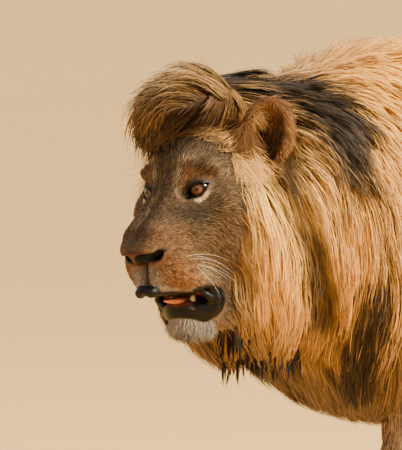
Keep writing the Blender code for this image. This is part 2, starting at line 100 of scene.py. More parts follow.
def to_head(p):
    return (p - EYE_MIDDLE) @ HEAD_AXES


def from_head(q):
    return np.asarray(q, float) @ HEAD_AXES.T + EYE_MIDDLE


def mirrored(p):
    return np.stack((np.abs(p[:, 0]), p[:, 1], p[:, 2]), 1)


def join(a, b, blend):
    near = np.maximum(blend - np.abs(a - b), 0) / blend
    return np.minimum(a, b) - near * near * blend * 0.25


def carve(a, b, blend):
    return -join(-a, b, blend)


def dots(a, b):
    return np.einsum("ij,ij->i", a, b)


def ball(p, centre, radii, nod=0.0, yaw=0.0, roll=0.0):
    q = p - np.asarray(centre, float)
    if nod or yaw or roll:
        q = q @ turn(yaw, nod, roll)
    r = np.asarray(radii, float)
    q = q / r
    scaled = np.sqrt(dots(q, q))
    q = q / r
    return scaled * (scaled - 1) / np.maximum(np.sqrt(dots(q, q)), 1e-6)


def limb(p, start, end, start_radius, end_radius):
    a = np.asarray(start, float)
    along = np.asarray(end, float) - a
    d = p - a
    t = np.clip(d @ along / (along @ along), 0, 1)
    d = d - t[:, None] * along
    return np.sqrt(dots(d, d)) - (start_radius + t * (end_radius - start_radius))


def chain(p, stations, blend):
    found = None
    for (a, ra), (b, rb) in zip(stations, stations[1:]):
        piece = limb(p, a, b, ra, rb)
        found = piece if found is None else join(found, piece, blend)
    return found


def gather(*shapes):
    """Shapes joined one after another: points, the measures of a ball or a limb, and the blend."""
    found = None
    for q, *measures, blend in shapes:
        piece = limb(q, *measures) if len(measures) == 4 else ball(q, *measures)
        found = piece if found is None else join(found, piece, blend)
    return found


OUTSIDE = 0.09  # what a field is given as beyond its reach, at least


def within(p, centre, reach, field):
    """A field worked out only near its centre, and well outside it beyond that reach."""
    away = np.linalg.norm(p - np.asarray(centre), axis=1) - reach
    value = np.maximum(away, 0) + OUTSIDE
    close = away < 0
    if close.any():
        value[close] = field(p[close])
    return value


def between(a, b, share):
    return tuple(np.asarray(a) * (1 - share) + np.asarray(b) * share)


def unit(v):
    v = np.asarray(v, float)
    return v / np.maximum(np.linalg.norm(v, axis=-1, keepdims=True), 1e-9)


def ramp(x, low, high):
    t = np.clip((x - low) / (high - low), 0, 1)
    return t * t * (3 - 2 * t)


def bump(q, centre, radii):
    """A soft spot, 1 at its centre and 0 well outside its radii."""
    d = (q - np.asarray(centre, float)) / np.asarray(radii, float)
    return np.exp(-dots(d, d))


# ---- the head, in head coordinates ----
LOOK_OUT = unit((0.34, -0.94, 0.0))
LID_ALONG = unit(np.array((0.94, 0.34, 0.0)) * math.cos(0.40) + np.array((0, 0, 1.0)) * math.sin(0.40))
LID_UP = np.cross(LOOK_OUT, LID_ALONG) * -1
LID_UP = LID_UP * np.sign(LID_UP[2])


def eye_places(m):
    """Along, up and out from the middle of the eye, in mirrored head coordinates."""
    d = m - EYE_CENTRE
    return d @ LID_ALONG, d @ LID_UP, d @ LOOK_OUT


def lid_gap(m):
    """Below zero inside the almond opening between the lids."""
    along, up, out = eye_places(m)
    wide = 1 - ((along + 0.001) / 0.0205) ** 2
    gap = np.maximum(up - 0.0078 * wide, -up - 0.0098 * wide)
    return np.maximum(gap * 0.85, 0.002 - out)


def head_mass(q, nose_blend):
    """Skull, muzzle, jaw and nose, before anything is cut out of them."""
    skull = gather(
        (q, (0, 0.106, 0.008), (0.090, 0.112, 0.098), 0),
        (q, (0, 0.050, 0.024), (0.066, 0.058, 0.068), 0.04),
        (q, (0, 0.056, -0.080), (0.086, 0.088, 0.092), 0.05),
        (q, (0.047, 0.021, 0.032), (0.033, 0.020, 0.014), 0.018),
        (q, (0.082, 0.070, -0.036), (0.034, 0.058, 0.036), 0.045),
        (q, (0.084, 0.104, -0.092), (0.044, 0.070, 0.080), 0.05),
        (q, (0.040, 0.002, -0.064), (0.028, 0.052, 0.030), 0.03))
    muzzle = gather(
        (q, (0.012, 0.014, -0.012), (0.012, -0.090, -0.072), 0.034, 0.024, 0),
        (q, (0.028, -0.044, -0.094), (0.031, 0.058, 0.044), 0.03),
        (q, (0.032, -0.046, -0.126), (0.032, 0.044, 0.038), 0.025),
        (q, (0.016, -0.080, -0.142), (0.018, 0.020, 0.031), 0.02),
        (q, (0.042, -0.036, -0.152), (0.061, 0.020, -0.164), 0.019, 0.013, 0.03))
    jaw = gather(
        (q, (0, 0.016, -0.214), (0.029, 0.030, 0.028), 0),
        (q, (0.020, 0.016, -0.208), (0.047, 0.066, -0.200), 0.022, 0.028, 0.03),
        (q, (0.048, 0.066, -0.200), (0.070, 0.118, -0.130), 0.031, 0.045, 0.05),
        (q, (0, 0.070, -0.200), (0.052, 0.080, 0.034), 0.04))
    nose = gather((q, (0, -0.102, -0.096), (0.034, 0.027, 0.024), 0),
                  (q, (0.022, -0.096, -0.092), (0.018, 0.026, 0.020), 0.014))
    return join(join(join(skull, muzzle, 0.032), jaw, 0.03), nose, nose_blend)


def mouth(q):
    return ball(q, (0.0, -0.050, -0.184), (0.074, 0.082, 0.0125), -6)


def orbit(q):
    return ball(q, (0.056, -0.010, 0.000), (0.027, 0.022, 0.0125), 0, 20, -12)


def head_shape(p):
    """The head as the solids have it, out to the tips of its coat."""
    q = mirrored(to_head(p))
    return carve(carve(head_mass(q, 0.010), orbit(q), 0.008), mouth(q), 0.008)


LOWER_LIP = ((0.000, -0.010, -0.197), (0.018, -0.006, -0.199), (0.031, 0.004, -0.203),
             (0.041, 0.012, -0.208), (0.050, 0.017, -0.212), (0.058, 0.019, -0.205),
             (0.062, 0.018, -0.192), (0.061, 0.012, -0.177))
UPPER_LIP = ((0.000, -0.102, -0.164), (0.012, -0.098, -0.168), (0.036, -0.064, -0.171),
             (0.050, -0.036, -0.172), (0.057, -0.016, -0.168), (0.061, -0.002, -0.165),
             (0.063, 0.010, -0.171))


def face_skin(q):
    """The bare face without its lids, with nostrils, lips and folds."""
    f = carve(head_mass(q, 0.008), orbit(q), 0.009)
    f = f + FACE_COAT * (1 - bump(q, (0, -0.118, -0.106), (0.030, 0.020, 0.020)))
    f = carve(f, mouth(q), 0.006)
    # the slack corner of the mouth, with a lip rolling round it
    f = carve(f, ball(q, (0.067, -0.002, -0.188), (0.016, 0.022, 0.019)), 0.012)
    f = join(f, chain(q, [(point, 0.0078) for point in LOWER_LIP], 0.006), 0.008)
    upper = (0.0085, 0.0080, 0.0042, 0.0034, 0.0036, 0.0042, 0.0050)
    f = join(f, chain(q, list(zip(UPPER_LIP, upper)), 0.006), 0.010)
    f = join(f, chain(q, (((0.050, -0.010, -0.174), 0.004), ((0.057, 0.004, -0.188), 0.005),
                          ((0.050, 0.012, -0.202), 0.004)), 0.006), 0.006)
    # fold of the cheek behind the mouth corner
    f = carve(f, chain(q, (((0.078, 0.016, -0.142), 0.002), ((0.083, 0.040, -0.174), 0.003)), 0.01), 0.012)
    # philtrum and nostrils
    f = carve(f, limb(q, (0, -0.130, -0.116), (0, -0.106, -0.162), 0.0024, 0.0028), 0.006)
    return carve(f, nostril(q), 0.004)


def nostril(q):
    """The comma-shaped opening, wide at the front and curling up round the wing."""
    stations = (((0.0150, -0.123, -0.1120), 0.0104), ((0.023, -0.111, -0.1110), 0.0108),
                ((0.032, -0.098, -0.1040), 0.0078), ((0.039, -0.087, -0.0965), 0.0036))
    return chain(q, stations, 0.004)


def head_skin(p):
    """The bare face with its lids."""
    q = mirrored(to_head(p))
    f = face_skin(q)
    f = join(f, np.linalg.norm(q - EYE_CENTRE, axis=1) - (EYE_RADIUS + 0.0036), 0.006)
    f = carve(f, np.maximum(lid_gap(q), 0.005 - eye_places(q)[2]), 0.0020)
    # the tear duct runs down from the inner corner of the lids
    corner = EYE_CENTRE + LOOK_OUT * 0.0175 - LID_ALONG * 0.0175
    duct = [(tuple(corner), 0.0034), (tuple(corner + np.array((-0.0090, -0.008, -0.0160))), 0.0018)]
    return carve(f, chain(q, duct, 0.002), 0.004)


EAR_AXES = turn(38, 4, 12)


def ear_shape(q, sign):
    t = (q * np.array((sign, 1.0, 1.0)) - EAR_ROOT) @ EAR_AXES
    return carve(ball(t, (-0.002, 0, 0), EAR_SIZE), ear_cup(t), 0.010)


def ear_cup(t):
    """The hollow of the ear, set towards its front edge so that the back edge is thick."""
    return ball(t, (-0.008, -0.026, 0.001), EAR_SIZE + (-0.015, 0.006, -0.012), 0, 0, 5)


def ear_room(q, sign):
    """The space that the mane leaves free round an ear."""
    t = (q * np.array((sign, 1.0, 1.0)) - EAR_ROOT) @ EAR_AXES
    return ball(t, (0, -0.012, 0.002), EAR_SIZE + (-0.003, 0.014, -0.005))


# ---- mane, trunk, legs, tail ----
def mane_form(p):
    h = to_head(p)
    m, b = mirrored(h), mirrored(p)
    head = gather(
        (m, (0.0, 0.120, 0.148), (0.086, 0.120, 0.078), 0),
        (m, (0.0, 0.034, 0.148), (0.084, 0.084, 0.048), 12, 0.04),
        (h, (-0.052, 0.010, 0.120), (0.024, 0.028, 0.040), 0.03),
        (h, (-0.056, 0.008, 0.092), (0.022, 0.024, 0.042), 0.02),
        (h, (0.104, 0.142, -0.080), (0.074, 0.086, 0.150), 0.06),
        (h, (-0.096, 0.168, -0.080), (0.072, 0.082, 0.150), 0.06),
        (m, (0.050, 0.180, -0.212), (0.070, 0.084, 0.094), 0.06))
    neck = gather(
        (p, (0.020, -0.240, 0.930), (0.220, 0.200, 0.236), 0),
        (b, (0.075, -0.080, 0.880), (0.175, 0.190, 0.300), 0.10),
        (p, (0.0, -0.010, 1.080), (0.125, 0.210, 0.128), 0.07),
        (p, (0.0, -0.080, 0.680), (0.148, 0.164, 0.146), 0.10),
        (b, (0.138, -0.116, 0.752), (0.112, 0.146, 0.154), 0.08))
    f = carve(join(head, neck, 0.08), chain(b, [(point, 0.012) for point in SHADED_FURROW], 0.01), 0.03)
    for sign in (1, -1):
        f = carve(f, ear_room(h, sign), 0.02)
    return f


BACK_LINE = (((0, 0.10, 0.980), 0.10), ((0, 0.48, 0.945), 0.10), ((0, 0.84, 0.945), 0.11))


def trunk_form(p):
    q = mirrored(p)
    f = gather(
        (q, (0, 0.200, 0.820), (0.188, 0.360, 0.250), 0),
        (q, (0.105, -0.030, 0.860), (0.090, 0.155, 0.215), -18, 0.09),
        (q, (0, 0.030, 1.020), (0.080, 0.180, 0.095), 0.10),
        (q, (0, 0.580, 0.775), (0.165, 0.340, 0.180), 0.12))
    f = join(f, chain(q, BACK_LINE, 0.05), 0.10)
    f = join(f, ball(q, (0.035, 0.920, 0.870), (0.128, 0.170, 0.170)), 0.10)
    return join(f, ball(q, (0, -0.140, 0.800), (0.130, 0.130, 0.170)), 0.10)


def neck_form(p):
    stations = [(tuple(from_head((0, 0.170, -0.030))), 0.125), ((0.020, -0.270, 0.930), 0.150),
                ((0, -0.080, 0.900), 0.190)]
    return chain(p, stations, 0.06)


def paw_form(p, at, width):
    q = (p - np.array(at, float)) / width
    f = ball(q, (0, 0.018, 0.045), (0.054, 0.062, 0.046))
    for x, y in ((-0.037, -0.034), (-0.013, -0.056), (0.013, -0.056), (0.037, -0.034)):
        f = join(f, ball(q, (x, y, 0.027), (0.0195, 0.036, 0.031)), TOE_GROOVE)
    return f * width


def foreleg_form(p, side):
    shoulder, elbow, wrist, sole = (np.array(joint) for joint in FORELEGS[side])
    f = chain(p, [(shoulder, 0.106), (elbow + (0, -0.005, 0.02), 0.084)], 0.05)
    f = join(f, ball(p, elbow + (0, 0.045, 0.020), (0.050, 0.050, 0.060)), 0.05)
    lower = [(elbow, 0.076), (between(elbow, wrist, 0.40), 0.068), (wrist, 0.050)]
    f = join(f, chain(p, lower, 0.03), 0.05)
    f = join(f, chain(p, [(wrist, 0.052), (sole + (0, 0.020, 0.055), 0.050)], 0.03), 0.03)
    return join(f, paw_form(p, sole, 1.16), 0.03)


def hindleg_form(p, side):
    hip, knee, hock, ankle, sole = (np.array(joint) for joint in HINDLEGS[side])
    f = chain(p, [(hip, 0.138), (knee, 0.094)], 0.06)
    thigh = [(hip + (0, 0.055, -0.060), 0.104), (between(knee, hock, 0.62), 0.052)]
    f = join(f, chain(p, thigh, 0.05), 0.07)
    f = join(f, chain(p, [(knee, 0.084), (between(knee, hock, 0.60), 0.056), (hock, 0.041)], 0.04), 0.05)
    f = join(f, chain(p, [(hock, 0.044), (ankle, 0.042), (sole + (0, 0.020, 0.050), 0.044)], 0.03), 0.03)
    return join(f, paw_form(p, sole, 1.06), 0.03)


def tail_form(p):
    return join(chain(p, TAIL, 0.03), chain(p, TAIL_TUFT, 0.03), 0.02)


def leg_form(p, joints, form, side):
    low, high = np.min(joints, axis=0), np.max(joints, axis=0)
    reach = np.linalg.norm(high - low) / 2 + 0.22
    return within(p, (low + high) / 2, reach, lambda q: form(q, side))


MANE_MIDDLE, MANE_REACH = (0.04, -0.18, 0.88), 0.62
FACE_MIDDLE, FACE_REACH = from_head((0, 0.04, -0.07)), 0.27


def bare_form(p):
    """Trunk, neck, legs and tail without the mane, out to their short coat."""
    trunk = within(p, (0, 0.40, 0.82), 0.95, trunk_form)
    f = join(trunk, within(p, (0.04, -0.24, 0.92), 0.50, neck_form), 0.10)
    for side in (1, -1):
        f = join(f, leg_form(p, FORELEGS[side], foreleg_form, side), 0.06)
        f = join(f, leg_form(p, HINDLEGS[side], hindleg_form, side), 0.06)
    return join(f, within(p, (0.02, 1.21, 0.58), 0.55, tail_form), 0.04)


def envelope(p):
    """The outline of neck, shoulders and mane out to the hair tips."""
    f = join(trunk_form(p), neck_form(p), 0.10)
    for side in (1, -1):
        shoulder, elbow = FORELEGS[side][:2]
        f = join(f, limb(p, shoulder, between(shoulder, elbow, 0.80), 0.105, 0.085), 0.06)
    return join(f, mane_form(p), 0.03)


def outline(p):
    """The outline of the mane, and just over the face where the ruff lies across it."""
    return join(envelope(p), within(p, FACE_MIDDLE, FACE_REACH, head_shape) - 0.006, 0.03)


def skin_field(p):
    """The skin under the coat: the forms less the depth of their hair, and the bare face."""
    f = bare_form(p) + BODY_COAT * (1 - 0.5 * ramp(-p[:, 2], -0.16, -0.06))
    f = join(f, within(p, MANE_MIDDLE, MANE_REACH, mane_form) + MANE_COAT, 0.03)
    f = join(f, within(p, FACE_MIDDLE, FACE_REACH, head_skin), 0.012)
    for sign in (1, -1):
        ear = within(p, from_head(EAR_ROOT * (sign, 1, 1)), 0.12, lambda q: ear_shape(to_head(q), sign))
        f = join(f, ear + 0.0018, 0.006)
    return np.maximum(f, 0.0015 - p[:, 2])


def gradient(field, p, value=None, step=0.0015):
    value = field(p) if value is None else value
    g = np.empty_like(p)
    for axis in range(3):
        shifted = p.copy()
        shifted[:, axis] += step
        g[:, axis] = (field(shifted) - value) / step
    return g


# ---- surface of a field ----
BLOCK = 4  # grid cells along the side of a block of the first, coarse look
BATCH = 400000  # grid points worked out at a time
LOWER, UPPER = slice(None, -1), slice(1, None)


def section(parts):
    """The index of part of a grid, from what it takes along some of the axes."""
    return tuple(parts.get(axis, slice(None)) for axis in range(3))


def surface(field, low, high, cell):
    """Points and quads where the field is zero, worked out only near the surface."""
    low = np.asarray(low, float)
    counts = (np.ceil((np.asarray(high, float) - low) / cell / BLOCK).astype(int) + 1) * BLOCK
    coarse = counts // BLOCK
    axes = [low[i] + cell * (BLOCK * np.arange(coarse[i]) + (BLOCK - 1) / 2) for i in range(3)]
    centres = np.stack(np.meshgrid(*axes, indexing="ij"), -1).reshape(-1, 3)
    rough = field(centres).reshape(coarse)
    values = rough
    for axis in range(3):
        values = np.repeat(values, BLOCK, axis)
    values = values.astype(np.float32)
    near = np.argwhere(np.abs(rough) < cell * BLOCK * 1.1) * BLOCK
    step = np.stack(np.meshgrid(*[np.arange(BLOCK)] * 3, indexing="ij"), -1).reshape(-1, 3)
    index = (near[:, None, :] + step[None]).reshape(-1, 3)
    for start in range(0, len(index), BATCH):
        part = index[start:start + BATCH]
        values[tuple(part.T)] = field(part * cell + low)
    for axis in range(3):
        for end in (0, -1):
            wall = section({axis: end})
            values[wall] = np.maximum(values[wall], cell * 0.5)
    for _ in range(6):  # fill cells whose inside meets only at an edge
        pinched = 0
        for u, v in ((0, 1), (1, 2), (0, 2)):
            a, b, c, d = (values[section({u: end_u, v: end_v})] for end_u, end_v in
                          ((LOWER, LOWER), (UPPER, LOWER), (UPPER, UPPER), (LOWER, UPPER)))
            one = (a < 0) & (c < 0) & (b >= 0) & (d >= 0)
            b[one] = -cell * 0.05
            other = (b < 0) & (d < 0) & (a >= 0) & (c >= 0)
            a[other] = -cell * 0.05
            pinched += int(one.sum() + other.sum())
        if not pinched:
            break
    cells, places, quads = [], [], []
    for axis in range(3):
        u, v = (axis + 1) % 3, (axis + 2) % 3
        a, b = values[section({axis: LOWER})], values[section({axis: UPPER})]
        crossing = (a < 0) != (b < 0)
        start = np.argwhere(crossing)
        point = start.astype(float)
        point[:, axis] += a[crossing] / (a[crossing] - b[crossing])
        corners = []
        for step_u, step_v in ((0, 0), (-1, 0), (-1, -1), (0, -1)):
            place = start.copy()
            place[:, u] += step_u
            place[:, v] += step_v
            corners.append(np.ravel_multi_index(tuple(place.T), values.shape))
            cells.append(corners[-1])
            places.append(point)
        ring = np.stack(corners, 1)
        outward = a[crossing] < 0
        quads.append(np.where(outward[:, None], ring, ring[:, ::-1]))
    names, inverse = np.unique(np.concatenate(cells), return_inverse=True)
    places = np.concatenate(places)
    count = np.bincount(inverse, minlength=len(names))
    points = np.stack([np.bincount(inverse, places[:, i], len(names)) for i in range(3)], 1)
    return points / count[:, None] * cell + low, np.searchsorted(names, np.concatenate(quads))


def settle_on(field, points, rounds=2, most=0.004):
    """Move points onto the surface of a field, and give its direction there."""
    g = gradient(field, points)
    size = np.maximum(dots(g, g), 0.2)
    for _ in range(rounds):
        move = (field(points) / size)[:, None] * g
        length = np.linalg.norm(move, axis=1, keepdims=True)
        points = points - move * np.minimum(1, most / np.maximum(length, 1e-9))
    return points, unit(g)


# ---- small helpers ----
def scatter_noise(p, size, seed):
    """A smooth wave pattern between about -1 and 1."""
    rng = np.random.default_rng(seed)
    total = np.zeros(len(p))
    for _ in range(6):
        way = unit(rng.normal(size=3)) * (2 * math.pi / size) * rng.uniform(0.6, 1.5)
        total += np.sin(p @ way + rng.uniform(0, 6.28))
    return total / 3.2


def noise_vector(p, size, seed):
    return np.stack([scatter_noise(p, size, seed + i) for i in range(3)], 1)


def distance_to_line(p, points):
    """Distance to a broken line, in any coordinates."""
    found = np.full(len(p), 9.0)
    for a, b in zip(points, points[1:]):
        found = np.minimum(found, limb(p, a, b, 0, 0))
    return found


def mix(a, b, share):
    return a + (b - a) * np.asarray(share)[:, None]


def spotted(c, q, spots):
    """Colours with soft spots mixed in one after another: centre, radii, colour, strength."""
    for centre, radii, colour, strength in spots:
        c = mix(c, colour, bump(q, centre, radii) * strength)
    return c


def linear(*rgb):
    c = np.array(rgb) / 255
    return np.where(c <= 0.04045, c / 12.92, ((c + 0.055) / 1.055) ** 2.4)


# ---- markings and painted light and shade, the same on skin and coat ----
TAWNY, BELLY, BACK = linear(144, 116, 84), linear(184, 158, 122), linear(130, 101, 70)
# FACE, CHEEK and FOREHEAD are the face's own colours, made darker as painted shade over the face
FACE, CHEEK, FOREHEAD = linear(80, 63, 45), linear(106, 83, 58), linear(60, 48, 36)
BRIDGE, MUZZLE, LIP_PALE = linear(62, 51, 38), linear(110, 75, 46), linear(150, 138, 122)
PALE, CHIN, RUST = linear(188, 162, 126), linear(150, 142, 130), linear(104, 66, 38)
BLACK, LEATHER, PINK = linear(9, 9, 10), linear(84, 50, 40), linear(150, 84, 66)
GOLD, GOLD_BRIGHT, GOLD_LOW = linear(196, 146, 78), linear(230, 180, 90), linear(100, 82, 64)
BROWN, DARK, TIP_DARK = linear(80, 59, 41), linear(34, 25, 18), linear(26, 18, 13)
HUMP, EAR_FUR, EAR_HOLLOW_SHADE = linear(238, 172, 52), linear(124, 80, 42), linear(40, 27, 18)
# CROWN_TOP is the crown's pale top, partly painted light
CROWN, CROWN_TOP, CROWN_RED = linear(98, 69, 38), linear(192, 146, 82), linear(80, 46, 24)

# centre and radii in mirrored head coordinates, colour, strength
FACE_SPOTS = (
    ((0.000, 0.020, 0.070), (0.080, 0.080, 0.045), FOREHEAD, 0.9),
    ((0.000, -0.060, -0.030), (0.022, 0.060, 0.050), FACE * 0.85, 0.8),
    ((0.000, -0.100, -0.070), (0.030, 0.040, 0.026), BRIDGE, 0.95),
    ((0.092, 0.040, -0.070), (0.040, 0.070, 0.080), CHEEK, 0.8),
    ((0.070, -0.024, -0.060), (0.030, 0.034, 0.030), FACE * 0.6, 0.8),
    ((0.048, -0.074, -0.112), (0.028, 0.040, 0.040), MUZZLE, 0.95),
    ((0.036, -0.100, -0.076), (0.014, 0.026, 0.016), MUZZLE * 0.8, 0.7),
    ((0.056, -0.050, -0.146), (0.030, 0.040, 0.022), MUZZLE * 1.25, 0.85),
    ((0.012, -0.100, -0.146), (0.018, 0.026, 0.024), LIP_PALE * 0.7, 0.9),
    ((0.070, -0.010, -0.140), (0.016, 0.020, 0.020), PALE * 0.7, 0.35),
    ((0.038, 0.000, 0.050), (0.014, 0.020, 0.008), PALE * 0.7, 0.60),
    ((0.024, -0.014, 0.026), (0.005, 0.014, 0.016), PALE * 0.7, 0.50),
    ((0.039, -0.011, 0.027), (0.0085, 0.012, 0.013), RUST, 0.95),
    ((0.033, -0.025, -0.002), (0.005, 0.016, 0.010), PALE * 0.7, 0.45),
    # painted shade below the pale patch under the eye
    ((0.054, -0.034, -0.038), (0.032, 0.030, 0.013), BRIDGE * 0.7, 0.85),
    ((0.062, -0.026, -0.044), (0.022, 0.024, 0.018), BRIDGE * 0.5, 0.70),
    # painted shade on the lower cheek
    ((0.072, -0.004, -0.110), (0.026, 0.026, 0.034), CHEEK * 0.65, 0.80),
    ((0.000, -0.008, -0.228), (0.044, 0.036, 0.020), CHIN, 0.85),
    ((0.040, 0.030, -0.226), (0.034, 0.050, 0.020), CHIN, 0.6),
    ((0.060, 0.040, -0.226), (0.030, 0.030, 0.016), MUZZLE, 0.5),
    ((0.000, -0.012, -0.243), (0.024, 0.030, 0.008), BRIDGE, 0.8),
)
# the furrow between the brows, drawn as a dark line of painted shade
BROW_FURROW = ((0.027, 0.005, 0.070), (0.012, -0.012, 0.042), (0.004, -0.024, 0.014))
# places on the mirrored body, and half widths
DARK_BAND = (((0.060, -0.398, 1.160), 0.040), ((0.090, -0.312, 1.140), 0.052),
             ((0.188, -0.277, 1.079), 0.060), ((0.223, -0.281, 1.012), 0.030),
             ((0.248, -0.221, 0.951), 0.006), ((0.252, -0.201, 0.871), 0.006),
             ((0.245, -0.214, 0.783), 0.026), ((0.222, -0.233, 0.711), 0.044),
             ((0.161, -0.226, 0.615), 0.044))


def face_colour(p):
    m = mirrored(to_head(p))
    c = spotted(np.tile(FACE, (len(p), 1)), m, FACE_SPOTS)
    # painted shade along the furrow between the brows
    c = mix(c, BRIDGE * 0.8, np.exp(-(distance_to_line(m, BROW_FURROW) / 0.0045) ** 2) * 0.75)
    gap = lid_gap(m)
    along, up, _ = eye_places(m)
    under = ramp(gap, 0.0042, 0.0054) * (1 - ramp(gap, 0.0080, 0.0120)) * ramp(-up, -0.002, 0.004)
    c = mix(c, PALE, under * ramp(along, -0.016, -0.008) * (1 - ramp(along, 0.009, 0.019)))
    c = mix(c, BRIDGE * 0.7, (1 - ramp(gap, 0.006, 0.013)) * ramp(up, 0.002, 0.008) * 0.6)
    patches = scatter_noise(m, 0.010, 61) + 0.6 * scatter_noise(m, 0.005, 62)
    pale = ramp(patches, 0.1, 0.7) * bump(m, (0.046, -0.080, -0.110), (0.030, 0.040, 0.044))
    c = mix(c, MUZZLE * 1.5, pale * 0.7)
    dusky = ramp(-patches, 0.2, 0.8) * bump(m, (0.040, -0.086, -0.090), (0.030, 0.040, 0.034))
    c = mix(c, BRIDGE, dusky * 0.8)
    spots = np.zeros(len(p))
    for row in range(4):  # the whisker spots
        for step in range(6):
            at = (0.050 - 0.0015 * row, -0.092 + 0.0135 * step + 0.004 * row, -0.100 - 0.0115 * row)
            d = (m - np.array(at)) / (0.020, 0.0032, 0.0030)
            spots = np.maximum(spots, np.exp(-dots(d, d)))
    return mix(c, DARK, spots * 0.75)


def bareness(p):
    """1 on black bare skin: lid rims, tear duct, lips, mouth corner and lining; the corner's black is partly
    painted shade of the mouth's inside.
    """
    m = mirrored(to_head(p))
    along, up, out = eye_places(m)
    thick = 0.0012 * ramp(up, -0.002, 0.004)
    rim = 1 - ramp(lid_gap(m) - thick, 0.0034, 0.0050)
    rim = rim * (out > 0.002) * (np.abs(along) < 0.026)
    duct = EYE_CENTRE + LOOK_OUT * 0.018 - LID_ALONG * 0.014
    duct = limb(m, duct, duct + (-0.0120, -0.011, -0.0220), 0.0072, 0.0024)
    rim = np.maximum(rim, 1 - ramp(duct, 0, 0.002))
    lips = 1 - ramp(distance_to_line(m, LOWER_LIP) - 0.0115, 0.0, 0.003)
    drop = np.array((0.0, 0.004, 0.012)) * (1 - ramp(m[:, :1], 0.034, 0.054))
    lips = np.maximum(lips, 1 - ramp(distance_to_line(m + drop, LOWER_LIP) - 0.0105, 0.0, 0.003))
    front = 0.0110 - 0.0090 * ramp(m[:, 0], 0.020, 0.032) + 0.004 * ramp(m[:, 0], 0.050, 0.058)
    lips = np.maximum(lips, 1 - ramp(distance_to_line(m, UPPER_LIP) - front, 0.0, 0.003))
    inside = 1 - ramp(mouth(m), 0.0010, 0.0035)
    # the mouth corner: black lip skin, and painted shade of the mouth's inside
    corner = 1 - ramp(ball(m, (0.053, 0.006, -0.191), (0.028, 0.030, 0.027)), 0.0, 0.004)
    seam = 1 - ramp(limb(m, (0, -0.128, -0.116), (0, -0.104, -0.166), 0.0016, 0.0022), 0.0, 0.003)
    return np.clip(np.maximum.reduce((rim, lips, inside, corner, seam)), 0, 1)


def leather_field(m):
    pad = ball(m, (0, -0.114, -0.110), (0.030, 0.026, 0.0165))
    pad = join(pad, nostril(m) - 0.0025, 0.004)
    return join(pad, limb(m, (0, -0.128, -0.118), (0, -0.122, -0.130), 0.006, 0.004), 0.006)


def leather(p):
    return 1 - ramp(leather_field(mirrored(to_head(p))), 0.0, 0.003)


def mane_share(p):
    return ramp(-mane_form(p), -0.004, 0.020)


def furrow_shade(p):
    """Painted shade: 1 in the furrow between cheek mane and neck mane, and behind the ear, where the hair is
    darkened as shadow.
    """
    gap = np.exp(-(distance_to_line(mirrored(p), SHADED_FURROW) / 0.027) ** 4)
    return np.maximum(gap, bump(mirrored(to_head(p)), (0.150, 0.150, 0.040), (0.026, 0.034, 0.050)))


def dark_band(b):
    """Distance to the dark band round the cheek mane, less its half width."""
    stations = zip(DARK_BAND, DARK_BAND[1:])
    return np.min([limb(b, low, high, wide, end) for (low, wide), (high, end) in stations], 0)


def mane_colour(p):
    h = to_head(p)
    m, b = mirrored(h), mirrored(p)
    tone = scatter_noise(p, 0.09, 5) * 0.5 + scatter_noise(p * (1, 1, 0.25), 0.020, 9) * 0.5
    streak = scatter_noise(p * (1, 1, 0.20), 0.012, 15)
    c = np.tile(GOLD, (len(p), 1))
    c = mix(c, GOLD_LOW, ramp(-b[:, 2], -0.76, -0.64) * 0.85)
    c = mix(c, BROWN, ramp(-b[:, 2], -0.70, -0.56) * 0.5)
    c = spotted(c, b, (((0.12, 0.00, 1.10), (0.18, 0.20, 0.16), HUMP, 1),))
    c = spotted(c, m, (((0.158, 0.094, -0.064), (0.040, 0.060, 0.090), GOLD_BRIGHT, 0.9),))
    c = mix(c, GOLD_LOW, ramp(-m[:, 2], 0.19, 0.29) * ramp(-m[:, 1], -0.20, -0.12) * 0.8)
    c = spotted(c, m, (((0.094, 0.044, -0.120), (0.022, 0.026, 0.110), CHEEK, 0.85),
                       ((0.112, 0.060, -0.010), (0.016, 0.022, 0.022), RUST, 0.7)))
    # crown colours: the mane's own browns and golds, with the top made paler as painted light and the
    # forelock's lower front made darker as painted shade under its overhang
    c = spotted(c, h, (((0.010, 0.040, 0.150), (0.110, 0.110, 0.075), CROWN, 1),
                       ((0.045, 0.020, 0.205), (0.070, 0.070, 0.026), CROWN_TOP, 0.9)))
    front = (1 - ramp(h[:, 1], 0.04, 0.11)) * ramp(h[:, 2], 0.03, 0.06)
    c = mix(c, DARK * 1.9, front * (1 - ramp(h[:, 2] - 0.25 * h[:, 1], 0.120, 0.190)) * 0.90)
    c = spotted(c, m, (((0.082, 0.110, 0.136), (0.044, 0.060, 0.054), CROWN_RED, 0.95),))
    band = dark_band(b) + 0.014 * streak + 0.010 * tone
    c = mix(c, BROWN, (1 - ramp(band, -0.005, 0.026)) * 0.6)
    c = mix(c, DARK, (1 - ramp(band, -0.022, 0.014)) * 0.97)
    # painted shade in the furrow and behind the ear
    c = mix(c, BROWN, furrow_shade(p) * 0.8)
    c = spotted(c, m, (((0.104, 0.074, 0.020), (0.024, 0.020, 0.040), GOLD_BRIGHT, 0.7),))
    return c * (1 + 0.14 * tone + 0.16 * streak)[:, None]


